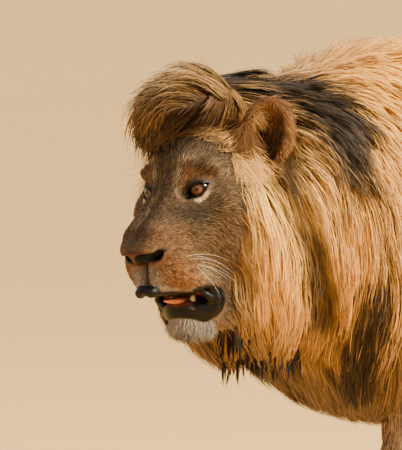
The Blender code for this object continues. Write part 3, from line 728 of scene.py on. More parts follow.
def body_colour(p):
    b = mirrored(p)
    tone = scatter_noise(p, 0.16, 21)
    c = np.tile(TAWNY, (len(p), 1))
    c = mix(c, BACK, ramp(b[:, 2], 0.93, 1.04) * 0.6)
    under = ramp(-b[:, 2], -0.74, -0.62) * ramp(-b[:, 0], -0.16, -0.06) * ramp(b[:, 1], 0.0, 0.2)
    c = mix(c, BELLY, under * 0.85)
    legs = ramp(-b[:, 2], -0.60, -0.30)
    c = mix(c, BELLY, legs * ramp(-b[:, 0], -0.15, -0.10) * ramp(b[:, 0], 0.05, 0.08) * 0.6)
    c = mix(c, BELLY, ramp(-b[:, 2], -0.12, -0.03) * 0.4)
    tuft = distance_to_line(p, [point for point, _ in TAIL_TUFT]) - 0.05
    c = mix(c, TIP_DARK, (1 - ramp(tuft, -0.01, 0.01)) * ramp(-p[:, 2], -0.44, -0.37))
    return c * (1 + 0.07 * tone)[:, None]


def ear_share(p):
    h = to_head(p)
    return 1 - ramp(np.minimum(ear_shape(h, 1), ear_shape(h, -1)), 0.002, 0.010)


def ear_colour(p):
    m = mirrored(to_head(p))
    t = (m - EAR_ROOT) @ EAR_AXES
    # painted shade: the hollow of the ear darkened towards its depth
    deep = (1 - ramp(ear_cup(t), -0.001, 0.005)) * (1 - 0.75 * ramp(t[:, 2], 0.006, 0.034))
    c = mix(np.tile(EAR_FUR, (len(p), 1)), EAR_HOLLOW_SHADE * 0.4, deep)
    return mix(c, TIP_DARK, ramp(t[:, 1], 0.008, 0.024) * ramp(-t[:, 2], -0.02, 0.03) * 0.8)


def marking(p):
    h = to_head(p)
    face = 1 - ramp(head_shape(p), 0.006, 0.022)
    c = mix(body_colour(p), face_colour(p), face)
    c = mix(c, mane_colour(p), ramp(-mane_form(p), -0.012, 0.000))
    c = mix(c, ear_colour(p), ear_share(p))
    fine = scatter_noise(h, 0.0045, 31) * 0.6 + scatter_noise(h, 0.012, 33) * 0.4
    fine = fine + scatter_noise(h, 0.028, 37) * 0.4
    return np.clip(c * (1 + 0.22 * fine)[:, None], 0.002, 1)


# ---- the lie of the coat ----
# place and direction in mirrored head coordinates
HEAD_FLOW = (
    ((0.010, -0.085, -0.055), (0.15, 0.85, 0.50)), ((0.010, -0.020, 0.000), (0.05, 0.40, 0.90)),
    ((0.000, 0.000, 0.060), (0.00, 0.40, 0.90)), ((0.050, 0.010, 0.055), (0.35, 0.50, 0.75)),
    ((0.090, 0.060, 0.030), (0.20, 0.95, 0.20)), ((0.050, -0.010, 0.030), (0.45, 0.45, 0.75)),
    ((0.030, -0.104, -0.080), (0.40, 0.90, 0.10)), ((0.048, -0.080, -0.110), (0.30, 0.90, -0.30)),
    ((0.052, -0.050, -0.145), (0.25, 0.85, -0.45)), ((0.016, -0.108, -0.140), (0.50, 0.10, -0.85)),
    ((0.045, -0.030, -0.050), (0.35, 0.90, -0.10)), ((0.060, -0.006, -0.030), (0.40, 0.85, -0.30)),
    ((0.080, 0.010, -0.006), (0.30, 0.95, 0.10)), ((0.100, 0.040, -0.050), (0.15, 0.92, -0.35)),
    ((0.095, 0.030, -0.120), (0.15, 0.80, -0.60)), ((0.065, 0.050, -0.200), (0.10, 0.60, -0.75)),
    ((0.020, -0.010, -0.225), (0.15, 0.20, -0.95)), ((0.000, 0.060, -0.240), (0.00, 0.50, -0.85)),
    ((0.118, 0.070, 0.020), (0.05, 0.00, -1.00)), ((0.131, 0.062, -0.028), (-0.04, -0.03, -1.0)),
    ((0.120, 0.051, -0.096), (0.00, 0.00, -1.00)), ((0.147, 0.073, -0.100), (0.05, 0.03, -1.00)),
    ((0.092, 0.059, -0.182), (0.00, 0.00, -1.00)), ((0.149, 0.113, -0.190), (0.04, 0.03, -1.00)),
    ((0.061, 0.102, -0.255), (0.04, 0.03, -1.00)), ((0.076, 0.161, -0.300), (-0.08, -0.06, -1.00)),
    ((0.146, 0.148, 0.046), (0.30, 0.25, -0.90)), ((0.176, 0.126, -0.026), (0.20, 0.15, -0.97)),
    ((0.184, 0.145, -0.097), (0.16, 0.12, -0.98)), ((0.169, 0.176, -0.169), (0.04, 0.03, -1.00)),
    ((0.146, 0.204, -0.227), (-0.08, -0.06, -1.0)), ((0.098, 0.192, -0.290), (-0.20, -0.18, -0.95)),
    ((0.140, 0.200, 0.100), (0.50, 0.45, -0.70)), ((0.170, 0.180, 0.047), (0.40, 0.35, -0.83)),
    ((0.072, 0.250, 0.178), (0.70, 0.56, -0.45)), ((0.146, 0.264, 0.144), (0.63, 0.50, -0.60)),
    ((0.191, 0.257, 0.091), (0.47, 0.37, -0.80)), ((0.224, 0.259, 0.019), (0.30, 0.25, -0.92)),
    ((0.000, 0.150, -0.290), (0.00, 0.10, -0.99)),
)
# the forelock sweeps forward and over to the right, in head coordinates
CROWN_FLOW = (
    ((0.060, 0.110, 0.210), (-0.77, -0.61, 0.10)), ((0.056, 0.038, 0.195), (-0.77, -0.61, -0.10)),
    ((0.032, -0.019, 0.174), (-0.67, -0.53, -0.50)), ((0.007, -0.048, 0.143), (-0.47, -0.37, -0.80)),
    ((-0.010, -0.031, 0.109), (-0.28, -0.22, -0.94)), ((-0.048, -0.017, 0.090), (-0.05, 0.00, -1.00)),
    ((0.055, -0.026, 0.130), (-0.71, -0.56, -0.45)), ((0.082, 0.023, 0.133), (-0.72, -0.57, -0.35)),
    ((0.088, 0.060, 0.148), (-0.72, -0.60, -0.15)), ((0.069, 0.105, 0.094), (-0.60, -0.50, -0.60)),
    ((0.070, 0.030, 0.155), (-0.75, -0.58, -0.22)), ((0.060, 0.000, 0.104), (-0.72, -0.50, -0.30)),
    ((-0.040, 0.030, 0.195), (-0.75, -0.45, -0.30)), ((-0.085, 0.040, 0.140), (-0.35, -0.10, -0.93)),
    ((-0.080, 0.100, 0.180), (-0.60, -0.10, -0.60)), ((0.067, 0.175, 0.200), (0.60, 0.75, -0.05)),
    ((-0.067, 0.160, 0.193), (-0.45, 0.85, 0.00)), ((0.000, 0.100, 0.225), (-0.77, -0.61, 0.10)),
    ((0.000, 0.180, 0.220), (0.10, 0.95, 0.00)), ((0.043, 0.190, 0.206), (0.75, 0.59, -0.30)),
)
# place and direction on the mirrored body
BODY_FLOW = (
    ((0.253, -0.198, 0.867), (0.12, 0.05, -0.98)), ((0.240, -0.221, 0.765), (0.00, -0.10, -0.99)),
    ((0.210, -0.230, 0.674), (-0.06, -0.20, -0.97)), ((0.119, -0.194, 0.590), (-0.05, -0.10, -0.99)),
    ((0.236, -0.284, 0.892), (0.10, 0.02, -0.99)), ((0.232, -0.303, 0.963), (0.20, 0.12, -0.96)),
    ((0.230, -0.215, 1.000), (0.28, 0.30, -0.92)), ((0.192, -0.272, 0.711), (-0.05, -0.20, -0.97)),
    ((0.130, -0.108, 1.170), (0.65, 0.40, -0.65)), ((0.040, -0.100, 1.200), (0.30, 0.90, -0.10)),
    ((0.120, 0.100, 1.130), (0.40, 0.75, -0.55)), ((0.250, -0.020, 0.950), (0.05, 0.55, -0.80)),
    ((0.260, 0.000, 0.780), (0.00, 0.35, -0.92)), ((0.200, 0.120, 0.920), (0.05, 0.85, -0.50)),
    ((0.000, -0.250, 0.750), (0.00, 0.20, -0.98)), ((0.000, -0.080, 0.520), (0.00, 0.35, -0.90)),
    ((0.240, -0.100, 0.680), (0.00, 0.25, -0.96)), ((0.200, 0.080, 0.640), (0.00, 0.60, -0.80)),
    ((0.000, 0.500, 1.040), (0.00, 1.00, -0.05)), ((0.000, 0.200, 1.080), (0.00, 1.00, -0.10)),
    ((0.180, 0.300, 0.800), (0.05, 0.92, -0.35)), ((0.170, 0.650, 0.780), (0.05, 0.88, -0.45)),
    ((0.000, 0.400, 0.600), (0.00, 1.00, 0.00)), ((0.000, 0.750, 0.640), (0.00, 1.00, 0.10)),
    ((0.100, 1.020, 0.950), (0.10, 0.75, -0.65)), ((0.230, 0.920, 0.780), (0.05, 0.45, -0.88)),
    ((0.060, 1.080, 0.780), (0.00, 0.30, -0.95)), ((0.160, 0.740, 0.640), (0.00, 0.60, -0.80)),
)


def flow_anchors():
    """Every place where the lie of the coat is given, and its direction there."""
    places, ways = [], []
    tables = ((HEAD_FLOW, (1, -1), from_head, HEAD_AXES), (CROWN_FLOW, (1,), from_head, HEAD_AXES),
              (BODY_FLOW, (1, -1), np.array, np.eye(3)))
    for table, signs, place, axes in tables:
        for at, way in table:
            for sign in signs:
                places.append(place(np.array(at) * (sign, 1, 1)))
                ways.append(axes @ (np.array(way) * (sign, 1, 1)))
    for joints in (*FORELEGS.values(), *HINDLEGS.values()):
        line = [np.array(joint) for joint in joints[1:]]
        for a, b in zip(line, line[1:]):
            for share in (0.15, 0.5, 0.85):
                for around in ((0.07, 0, 0), (-0.07, 0, 0), (0, 0.07, 0), (0, -0.07, 0)):
                    places.append(a + (b - a) * share + around)
                    ways.append(unit(b - a))
        places.append(line[-1] + (0, -0.05, 0.05))
        ways.append(np.array((0, -0.85, -0.5)))
    tail = [np.array(point) for point, _ in TAIL + TAIL_TUFT[1:]]
    for a, b in zip(tail, tail[1:]):
        places.append((a + b) / 2)
        ways.append(unit(b - a))
    return np.array(places), unit(ways)


FLOW_AT, FLOW_WAY = flow_anchors()
FLOW_BATCH = 20000


def flow(p, normals):
    """Which way the hair lies at each point, along the surface."""
    ways = np.empty_like(p)
    for start in range(0, len(p), FLOW_BATCH):
        part = p[start:start + FLOW_BATCH]
        away = ((part[:, None] - FLOW_AT[None]) ** 2).sum(2) + 1e-4
        ways[start:start + FLOW_BATCH] = (1 / away ** 3) @ FLOW_WAY
    ways = unit(ways)
    into = np.minimum(dots(ways, normals), 0.0)
    return unit(ways - into[:, None] * normals)


def along_surface(ways, normals):
    return unit(ways - dots(ways, normals)[:, None] * normals)


# ---- meshes ----
def new_mesh(name, points, loops, sizes):
    """A smooth mesh, moved to where the CAD's eyes are and kept above the floor."""
    mesh = bpy.data.meshes.new(name)
    mesh.vertices.add(len(points))
    placed = points + SHIFT
    placed[:, 2] = np.maximum(placed[:, 2], FLOOR_GAP)
    mesh.vertices.foreach_set("co", np.ascontiguousarray(placed, np.float32).ravel())
    mesh.loops.add(len(loops))
    mesh.loops.foreach_set("vertex_index", np.ascontiguousarray(loops, np.int32))
    mesh.polygons.add(len(sizes))
    starts = np.concatenate(((0,), np.cumsum(sizes)[:-1])).astype(np.int32)
    mesh.polygons.foreach_set("loop_start", starts)
    mesh.update(calc_edges=True)
    mesh.shade_smooth()
    return mesh


def quad_mesh(name, points, quads):
    return new_mesh(name, points, quads.ravel(), np.full(len(quads), 4))


def read(items, key, size, kind=float):
    """One property of all vertices or corners of a mesh, as rows."""
    values = np.empty(len(items) * size, kind)
    items.foreach_get(key, values)
    return values.reshape(-1, size)


def link(name, data):
    obj = bpy.data.objects.new(name, data)
    bpy.context.scene.collection.objects.link(obj)
    return obj


def add_object(name, mesh, made):
    mesh.materials.append(made)
    return link(name, mesh)


def paint(mesh, colours, bare=None):
    rgba = np.ones((len(colours), 4), np.float32)
    rgba[:, :3] = colours
    layer = mesh.color_attributes.new("Coat", "FLOAT_COLOR", "POINT")
    layer.data.foreach_set("color", rgba.ravel())
    if bare is not None:
        layer = mesh.attributes.new("Bare", "FLOAT", "POINT")
        layer.data.foreach_set("value", np.ascontiguousarray(bare, np.float32))


BAKE_PATCH = 0.003  # side of each hair's patch on the map
EDGE_LEAN = 0.45  # how far the normals lean out at the edges of a flat hair


def ribbons(name, paths, sides, widths, colours, normals, roots, made):
    """Flat tapering hairs as one mesh: paths (hairs, stations, 3), each ending in a point."""
    count, stations = paths.shape[:2]
    half = (sides * widths[:, :, None] * 0.5)[:, :-1]
    left, right = paths[:, :-1] - half, paths[:, :-1] + half
    points = np.concatenate((np.stack((left, right), 2).reshape(count, -1, 3), paths[:, -1:]), 1)
    per = points.shape[1]
    quads = [(2 * i + 1, 2 * i, 2 * i + 2, 2 * i + 3) for i in range(stations - 2)]
    pattern = np.array([i for quad in quads for i in quad] + [per - 2, per - 3, per - 1])
    sizes = np.array([4] * len(quads) + [3])
    loops = (np.arange(count)[:, None] * per + pattern[None]).ravel()
    mesh = new_mesh(name, points.reshape(-1, 3), loops, np.tile(sizes, count))
    shade = np.concatenate((np.repeat(colours[:, :-1], 2, 1), colours[:, -1:]), 1)
    paint(mesh, shade.reshape(-1, 3))
    edges = np.stack((normals - EDGE_LEAN * sides, normals + EDGE_LEAN * sides), 2)[:, :-1]
    leaning = np.concatenate((edges.reshape(count, -1, 3), normals[:, -1:]), 1)
    mesh.normals_split_custom_set_from_vertices(unit(leaning).reshape(-1, 3))
    across = np.tile((0.0, 1.0), stations - 1)
    along = np.repeat(np.arange(stations - 1) / (stations - 1), 2)
    patch = np.stack((np.append(across, 0.5), np.append(along, 1.0)), 1) * BAKE_PATCH
    spots = (roots[:, None] + patch[None]).reshape(-1, 2)
    layer = mesh.uv_layers.new(name="OFBake")
    layer.data.foreach_set("uv", np.ascontiguousarray(spots[loops], np.float32).ravel())
    obj = add_object(name, mesh, made)
    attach(obj, "root")
    return obj


# ---- materials ----
def node_material(name, roughness, gloss=0.5):
    made = bpy.data.materials.new(name)
    made.use_nodes = True
    shader = made.node_tree.nodes["Principled BSDF"]
    shader.inputs["Roughness"].default_value = roughness
    shader.inputs["Specular IOR Level"].default_value = gloss
    return made, made.node_tree, shader


def add_node(tree, kind, **inputs):
    """A node with its inputs set; a socket given as an input is linked to it."""
    node = tree.nodes.new("ShaderNode" + kind)
    for key, value in inputs.items():
        socket = node.inputs[key.replace("_", " ")]
        if isinstance(value, bpy.types.NodeSocket):
            tree.links.new(value, socket)
        else:
            socket.default_value = value
    return node


def pattern(tree, kind, **inputs):
    """A texture over the object's own coordinates."""
    place = add_node(tree, "TexCoord")
    return add_node(tree, "Tex" + kind, Vector=place.outputs["Object"], **inputs)


def coat_colour(tree):
    colour = add_node(tree, "VertexColor")
    colour.layer_name = "Coat"
    return colour.outputs["Color"]


def mottle(tree, shader, noise, low, high):
    """Colour from the markings, made darker and lighter by fine noise."""
    tone = add_node(tree, "MapRange", Value=noise.outputs["Fac"], To_Min=low, To_Max=high)
    scale = tree.nodes.new("ShaderNodeVectorMath")
    scale.operation = "SCALE"
    tree.links.new(coat_colour(tree), scale.inputs[0])
    tree.links.new(tone.outputs["Result"], scale.inputs["Scale"])
    tree.links.new(scale.outputs["Vector"], shader.inputs["Base Color"])


def emboss(tree, shader, height, strength, depth):
    """Let a pattern stand out of the surface."""
    relief = add_node(tree, "Bump", Height=height, Strength=strength, Distance=depth)
    tree.links.new(relief.outputs["Normal"], shader.inputs["Normal"])


def coat_material(name, roughness, sheen=0.0):
    """Hair or haired skin in the colour of the markings."""
    made, tree, shader = node_material(name, roughness, 0.18)
    mottle(tree, shader, pattern(tree, "Noise", Scale=160.0, Detail=3.0), 0.72, 1.28)
    shader.inputs["Sheen Weight"].default_value = sheen
    return made


def skin_material():
    """Short-haired skin that turns smooth, wet and black where it is bare."""
    made = coat_material("skin", 0.85)
    tree = made.node_tree
    shader = tree.nodes["Principled BSDF"]
    bare = tree.nodes.new("ShaderNodeAttribute")
    bare.attribute_name = "Bare"
    rough = add_node(tree, "MapRange", Value=bare.outputs["Fac"], To_Min=0.85, To_Max=0.40)
    tree.links.new(rough.outputs["Result"], shader.inputs["Roughness"])
    emboss(tree, shader, pattern(tree, "Noise", Scale=700.0).outputs["Fac"], 0.35, 0.001)
    return made


def leather_material():
    """The pebbled nose pad."""
    made, tree, shader = node_material("nose_leather", 0.50, 0.15)
    tree.links.new(coat_colour(tree), shader.inputs["Base Color"])
    emboss(tree, shader, pattern(tree, "Voronoi", Scale=520.0).outputs["Distance"], 0.5, 0.0008)
    return made


def eye_material():
    """Iris, pupil and rim from the vertex colours, under a wet surface."""
    made, tree, shader = node_material("eye", 0.08, 0.3)
    mottle(tree, shader, pattern(tree, "Noise", Scale=450.0), 0.75, 1.25)
    shader.inputs["Coat Weight"].default_value = 0.25
    shader.inputs["Coat Roughness"].default_value = 0.02
    return made


def plain_material(name, colour, roughness, scale, depth, low=0.80, high=1.15):
    """One colour with a fine uneven surface."""
    made, tree, shader = node_material(name, roughness)
    noise = pattern(tree, "Noise", Scale=scale).outputs["Fac"]
    shades = add_node(tree, "ValToRGB", Fac=noise)
    shades.color_ramp.elements[0].color = (*(colour * low), 1)
    shades.color_ramp.elements[1].color = (*(colour * high).clip(0, 1), 1)
    tree.links.new(shades.outputs["Color"], shader.inputs["Base Color"])
    emboss(tree, shader, noise, 0.4, depth)
    return made


# ---- the skin ----
FINE_MIDDLE, FINE_HALF = from_head((0, 0.02, -0.04)), (0.235, 0.225, 0.255)
FINE_BOX = (FINE_MIDDLE - FINE_HALF, FINE_MIDDLE + FINE_HALF)


def fine_zone(p):
    """Below zero round the face and the ears, where the skin gets its finer grid."""
    m = mirrored(to_head(p))
    return gather((m, (0, 0.0, -0.08), (0.150, 0.150, 0.195), 0),
                  (m, EAR_ROOT, (0.085, 0.085, 0.095), 0.02))


def keep_faces(points, quads, wanted):
    quads = quads[wanted[quads].all(1)]
    used, quads = np.unique(quads, return_inverse=True)
    return points[used], quads.reshape(-1, 4)


def build_skin():
    """Body at an even grid and the head at a finer one, from the same field.

    Returns points, quads, normals, and the number of the first point of the head.
    """
    points, quads = surface(skin_field, (-0.34, -0.84, -0.02), (0.34, 1.46, 1.25), CELL)
    body_points, body_quads = keep_faces(points, quads, fine_zone(points) > -0.012)
    body_points, normals = settle_on(skin_field, body_points)
    tuck = 1 - ramp(fine_zone(body_points), 0.0, 0.006)
    body_points = body_points - normals * 0.002 * tuck[:, None]
    points, quads = surface(skin_field, *FINE_BOX, CELL * 0.42)
    head_points, head_quads = keep_faces(points, quads, fine_zone(points) < 0.004)
    head_points, head_normals = settle_on(skin_field, head_points)
    first = len(body_points)
    return (np.concatenate((body_points, head_points)), np.concatenate((body_quads, head_quads + first)),
            np.concatenate((normals, head_normals)), first)


def leather_colour(p, normals):
    m = mirrored(to_head(p))
    facing = np.clip(-(normals @ HEAD_AXES)[:, 1], 0, 1)
    c = mix(np.tile(BLACK * 1.6, (len(p), 1)), LEATHER, ramp(facing, 0.35, 0.8))
    c = mix(c, BLACK * 1.5, ramp(m[:, 2], -0.102, -0.094) * 0.8)
    # painted shade: the nostril openings nearly black inside
    return mix(c, BLACK * 0.2, 1 - ramp(nostril(m), 0.0004, 0.0030))


def skin_colour(p, normals, bare):
    c = marking(p)
    # painted shade: skin under the mane darkened so gaps between strands read as deep shadow
    c = mix(c, c * 0.35, mane_share(p))
    c = mix(c, BLACK, bare)
    m = mirrored(to_head(p))
    inside = 1 - ramp(ball(m, (0.0, 0.000, -0.182), (0.046, 0.070, 0.016)), -0.002, 0.006)
    c = mix(c, PINK * 0.6, inside * (mouth(m) < 0.004) * 0.7)
    c = mix(c, leather_colour(p, normals), 1 - ramp(leather_field(m), -0.001, 0.0045))
    # painted shade: the nostril openings nearly black inside
    return mix(c, BLACK * 0.2, 1 - ramp(nostril(m), 0.0006, 0.0030))


FLESH_NODES = [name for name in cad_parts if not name.startswith(("eye", "canine", "tongue", "nose"))]


def add_skin(points, quads, normals):
    on_nose = (leather(points) > 0.5)[quads].all(1)
    bare = bareness(points)
    colours = skin_colour(points, normals, bare)
    bare = np.maximum(bare, 1 - ramp(leather_field(mirrored(to_head(points))), -0.001, 0.003))
    for name, chosen in (("skin", ~on_nose), ("nose_leather", on_nose)):
        used, faces = np.unique(quads[chosen], return_inverse=True)
        mesh = quad_mesh(name, points[used], faces.reshape(-1, 4))
        if name == "skin":
            paint(mesh, colours[used], bare[used])
            obj = add_object(name, mesh, skin_material())
            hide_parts(*FLESH_NODES)
        else:
            paint(mesh, leather_colour(points[used], normals[used]))
            obj = add_object(name, mesh, leather_material())
            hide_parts("nose")
        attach(obj, "root")


# ---- roots on the skin ----
class Ground:
    """The skin as triangles to grow hair from, without its bare parts."""

    def __init__(self, points, quads, normals, first):
        self.points, self.normals = points, normals
        triangles = np.concatenate((quads[:, (0, 1, 2)], quads[:, (0, 2, 3)]))
        middle = points[triangles].mean(1)
        zone = fine_zone(middle)
        own_grid = np.where(triangles[:, 0] < first, zone > 0, zone <= 0)
        clear = (middle[:, 2] > 0.006) & (bareness(middle) < 0.4) & (leather(middle) < 0.4) & own_grid
        self.triangles, self.middle = triangles[clear], middle[clear]
        a, b, c = (points[self.triangles[:, i]] for i in range(3))
        self.area = np.linalg.norm(np.cross(b - a, c - a), axis=1) / 2

    def sow(self, count, weight, seed):
        """Roots and normals, spread by area times a weight for each triangle."""
        rng = np.random.default_rng(seed)
        share = np.cumsum(self.area * weight)
        at = (np.arange(count) + rng.random(count)) / count * share[-1]
        pick = np.minimum(np.searchsorted(share, at), len(share) - 1)
        u, v = rng.random(count), rng.random(count)
        over = u + v > 1
        u[over], v[over] = 1 - u[over], 1 - v[over]
        t = self.triangles[pick]
        mixed = []
        for source in (self.points, self.normals):
            a, b, c = (source[t[:, i]] for i in range(3))
            mixed.append(a + (b - a) * u[:, None] + (c - a) * v[:, None])
        order = rng.permutation(count)
        return mixed[0][order], unit(mixed[1])[order]


class Unwrap:
    """A coarse copy of the skin, unwrapped, that gives each root its place on the map."""

    CELL = 0.024

    def __init__(self):
        points, quads = surface(skin_field, (-0.38, -0.88, -0.04), (0.38, 1.50, 1.28), self.CELL)
        mesh = bpy.data.meshes.new("unwrap")
        mesh.from_pydata(points.tolist(), [], quads.tolist())
        obj = link("unwrap", mesh)
        for other in bpy.context.selected_objects:
            other.select_set(False)
        obj.select_set(True)
        bpy.context.view_layer.objects.active = obj
        bpy.ops.object.mode_set(mode="EDIT")
        bpy.ops.mesh.select_all(action="SELECT")
        bpy.ops.mesh.quads_convert_to_tris()
        bpy.ops.uv.smart_project(angle_limit=math.radians(60), island_margin=0.004)
        bpy.ops.object.mode_set(mode="OBJECT")
        mesh = obj.data
        self.uv = read(mesh.uv_layers.active.data, "uv", 2).reshape(-1, 3, 2)
        self.faces = read(mesh.loops, "vertex_index", 1, int).reshape(-1, 3)
        self.points = read(mesh.vertices, "co", 3)
        self.tree = BVHTree.FromPolygons(self.points.tolist(), self.faces.tolist())
        bpy.data.objects.remove(obj)

    def places(self, p):
        hits = [self.tree.find_nearest(point) for point in p.tolist()]
        face = np.array([hit[2] for hit in hits])
        spot = np.array([hit[0] for hit in hits])
        a, b, c = (self.points[self.faces[face, i]] for i in range(3))
        v0, v1, v2 = b - a, c - a, spot - a
        d00, d01, d11 = ((x * y).sum(1) for x, y in ((v0, v0), (v0, v1), (v1, v1)))
        d20, d21 = (v2 * v0).sum(1), (v2 * v1).sum(1)
        size = np.maximum(d00 * d11 - d01 * d01, 1e-18)
        v, w = (d11 * d20 - d01 * d21) / size, (d00 * d21 - d01 * d20) / size
        uv = self.uv[face]
        found = uv[:, 0] * (1 - v - w)[:, None] + uv[:, 1] * v[:, None] + uv[:, 2] * w[:, None]
        return np.clip(found, 0.0, 1 - BAKE_PATCH)


# ---- short coat ----
ROOT_DEPTH = 0.0004


def measure(value, roots):
    """A length or width for each root, from one number or from a function of the roots."""
    return value(roots) if callable(value) else np.full(len(roots), value)


def short_coat(name, ground, unwrap, count, weight, length, width, lift, seed, made, stations=3, tip=1.20,
               grain=(0.55, 1.45)):
    """Short flat hairs. length, width and lift are numbers or functions of the roots."""
    rng = np.random.default_rng(seed)
    count = int(count * DENSITY)
    roots, normals = ground.sow(count, weight, seed)
    ways = flow(roots, normals) + noise_vector(roots, 0.03, seed + 3) * 0.16
    ways = along_surface(ways + rng.normal(size=roots.shape) * 0.13, normals)
    long = measure(length, roots) * rng.uniform(0.7, 1.25, count)
    rise = measure(lift, roots) * rng.uniform(0.5, 1.5, count)
    t = np.linspace(0, 1, stations)
    paths = (roots[:, None] + ways[:, None] * (long[:, None] * t[None])[:, :, None]
             + normals[:, None] * ((rise * long)[:, None] * (t * (1.35 - 0.55 * t))[None])[:, :, None])
    paths = paths - normals[:, None] * ROOT_DEPTH
    side = unit(np.cross(normals, ways) + normals * rng.normal(size=(count, 1)) * 0.35)
    sides = np.repeat(side[:, None], stations, 1)
    widths = measure(width, roots)[:, None] * rng.uniform(0.7, 1.2, (count, 1)) * (1 - 0.35 * t)[None]
    loose = 0.007 * ramp(to_head(roots)[:, 1], 0.025, 0.060)
    colour = marking(roots + rng.normal(size=roots.shape) * loose[:, None])
    colour = colour * rng.uniform(*grain, (count, 1))
    colours = colour[:, None] * np.linspace(0.65, tip, stations)[None, :, None]
    tilt = rng.normal(size=(count, 1, 3)) * 0.22
    facing = np.repeat(normals[:, None], stations, 1) - ways[:, None] * 0.25 + tilt
    return ribbons(name, paths, sides, widths, np.clip(colours, 0, 1), facing, unwrap.places(roots), made)


# ---- mane ----
MANE_LOCKS = 5200
GUIDE_STEPS = 8
STRAND_POINTS = 6
LOCK_SEED = 77


def mane_length(p):
    h = to_head(p)
    m, b = mirrored(h), mirrored(p)
    long = np.full(len(p), 0.130)
    for q, centre, radii, there in (
            (m, (0.13, 0.11, -0.12), (0.07, 0.09, 0.14), 0.170),
            (m, (0.118, 0.062, 0.030), (0.030, 0.040, 0.060), 0.085),
            (m, (0.10, 0.045, -0.12), (0.03, 0.035, 0.12), 0.095),
            (h, (0.0, 0.05, 0.15), (0.12, 0.10, 0.08), 0.095),
            (h, (0.0, -0.03, 0.110), (0.10, 0.05, 0.035), 0.055),
            (h, (-0.055, 0.0, 0.060), (0.040, 0.050, 0.035), 0.030),
            (b, (0.10, -0.20, 0.70), (0.20, 0.15, 0.14), 0.160)):
        long = long + (there - long) * bump(q, centre, radii)
    return long + (0.075 - long) * ramp(b[:, 1], 0.02, 0.14)


def guides(ground, count, weight, seed):
    """Centre lines of the mane's locks: they follow the lie of the coat and rise to its outline."""
    rng = np.random.default_rng(seed)
    roots, normals = ground.sow(count, weight, seed)
    start = outline(roots)
    tips = np.maximum(rng.uniform(-0.016, 0.004, len(roots)), start + 0.002)
    step = mane_length(roots) * rng.uniform(0.8, 1.2, len(roots)) / GUIDE_STEPS
    drift = noise_vector(roots, 0.07, seed + 11) * 0.10 + rng.normal(size=roots.shape) * 0.045
    curl = ramp(mirrored(roots)[:, 2], 1.02, 1.10) * ramp(roots[:, 1], -0.16, -0.06)
    lines, p, n = [roots], roots, normals
    for i in range(1, GUIDE_STEPS + 1):
        t = i / GUIDE_STEPS
        wave = noise_vector(p + drift * 0.1, 0.05, seed + 17) * (0.12 + 1.2 * curl)[:, None]
        way = unit(flow(p, n) + drift + wave * 0.5)
        q = p + way * step[:, None]
        value = outline(q)
        n = unit(gradient(outline, q, value))
        level = start + (tips - start) * min(1.0, 1.5 * t) ** 0.8
        hang = np.maximum(-n[:, 2], 0) * 0.012 * t
        move = np.where(value < level, level - value, np.minimum(level + hang - value, 0))
        q = q + n * (move * 0.8)[:, None]
        p = p + unit(q - p) * step[:, None]
        lines.append(p)
    return np.stack(lines, 1)


def nearest_tree(points):
    tree = KDTree(len(points))
    for i, point in enumerate(points.tolist()):
        tree.insert(point, i)
    tree.balance()
    return tree


def mane_piece(name, ground, unwrap, lines, count, weight, width, clump, seed, made, reach):
    """Long strands that leave their own roots and gather along the nearest guides."""
    rng = np.random.default_rng(seed)
    count = int(count * DENSITY)
    roots, _ = ground.sow(count, weight, seed)
    tree = nearest_tree(lines[:, 0])
    near = [tree.find_n(point, 3) for point in roots.tolist()]
    pick = rng.integers(0, 3, count)
    pick = np.where(rng.random(count) < 0.75, 0, pick)
    chosen = np.array([row[k][1] for row, k in zip(near, pick)])
    line = lines[chosen]
    share = rng.uniform(*reach, count)
    at = np.clip(np.linspace(0, 1, STRAND_POINTS)[None] * share[:, None], 0, 1) * GUIDE_STEPS
    low = np.minimum(at.astype(int), GUIDE_STEPS - 1)
    rows = np.arange(count)[:, None]
    path = line[rows, low] + (line[rows, low + 1] - line[rows, low]) * (at - low)[:, :, None]
    t = np.linspace(0, 1, STRAND_POINTS)[None, :, None]
    offset = (roots - line[:, 0])[:, None]
    tight = rng.uniform(*clump, count)[:, None, None]
    path = path + offset * (1 - tight * t ** 1.2)
    loose = 0.004 + 0.007 * bump(to_head(roots), (0.0, 0.0, 0.14), (0.10, 0.08, 0.08))
    stray = rng.normal(size=(count, 1, 3)) * loose[:, None, None] * t ** 1.5
    phase = rng.uniform(0, 6.28, (count, 1, 1))
    wave = np.sin(t * rng.uniform(5, 11, (count, 1, 1)) + phase) - np.sin(phase)
    path = path + stray + wave * rng.normal(size=(count, 1, 3)) * 0.0014 * t
    tangent = unit(np.gradient(path, axis=1))
    flat = path.reshape(-1, 3)
    facing = unit(gradient(outline, flat, step=0.004)).reshape(path.shape)
    side = unit(np.cross(facing, tangent) + facing * (rng.normal(size=(count, 1, 1)) * 0.3))
    s = t[:, :, 0]
    widths = width * rng.uniform(0.6, 1.3, (count, 1)) * (0.55 + 0.75 * np.sin(math.pi * (0.12 + 0.75 * s)))
    colour = mane_tone(path[:, 0], path[:, 3], rng, chosen)
    # painted shade: each strand darker towards its root, deep in the mane, and a little darker again at the
    # tip
    light = 0.55 + 0.55 * np.minimum(1, s * 3.0) - 0.15 * ramp(s, 0.7, 1.0)
    colours = colour[:, None] * light[:, :, None]
    # painted shade: strands darkened where they pass the furrow and behind the ear
    colours = mix(colours.reshape(-1, 3), DARK, furrow_shade(flat) * 0.9).reshape(path.shape)
    return ribbons(name, path, side, widths, np.clip(colours, 0, 1), facing, unwrap.places(roots), made)


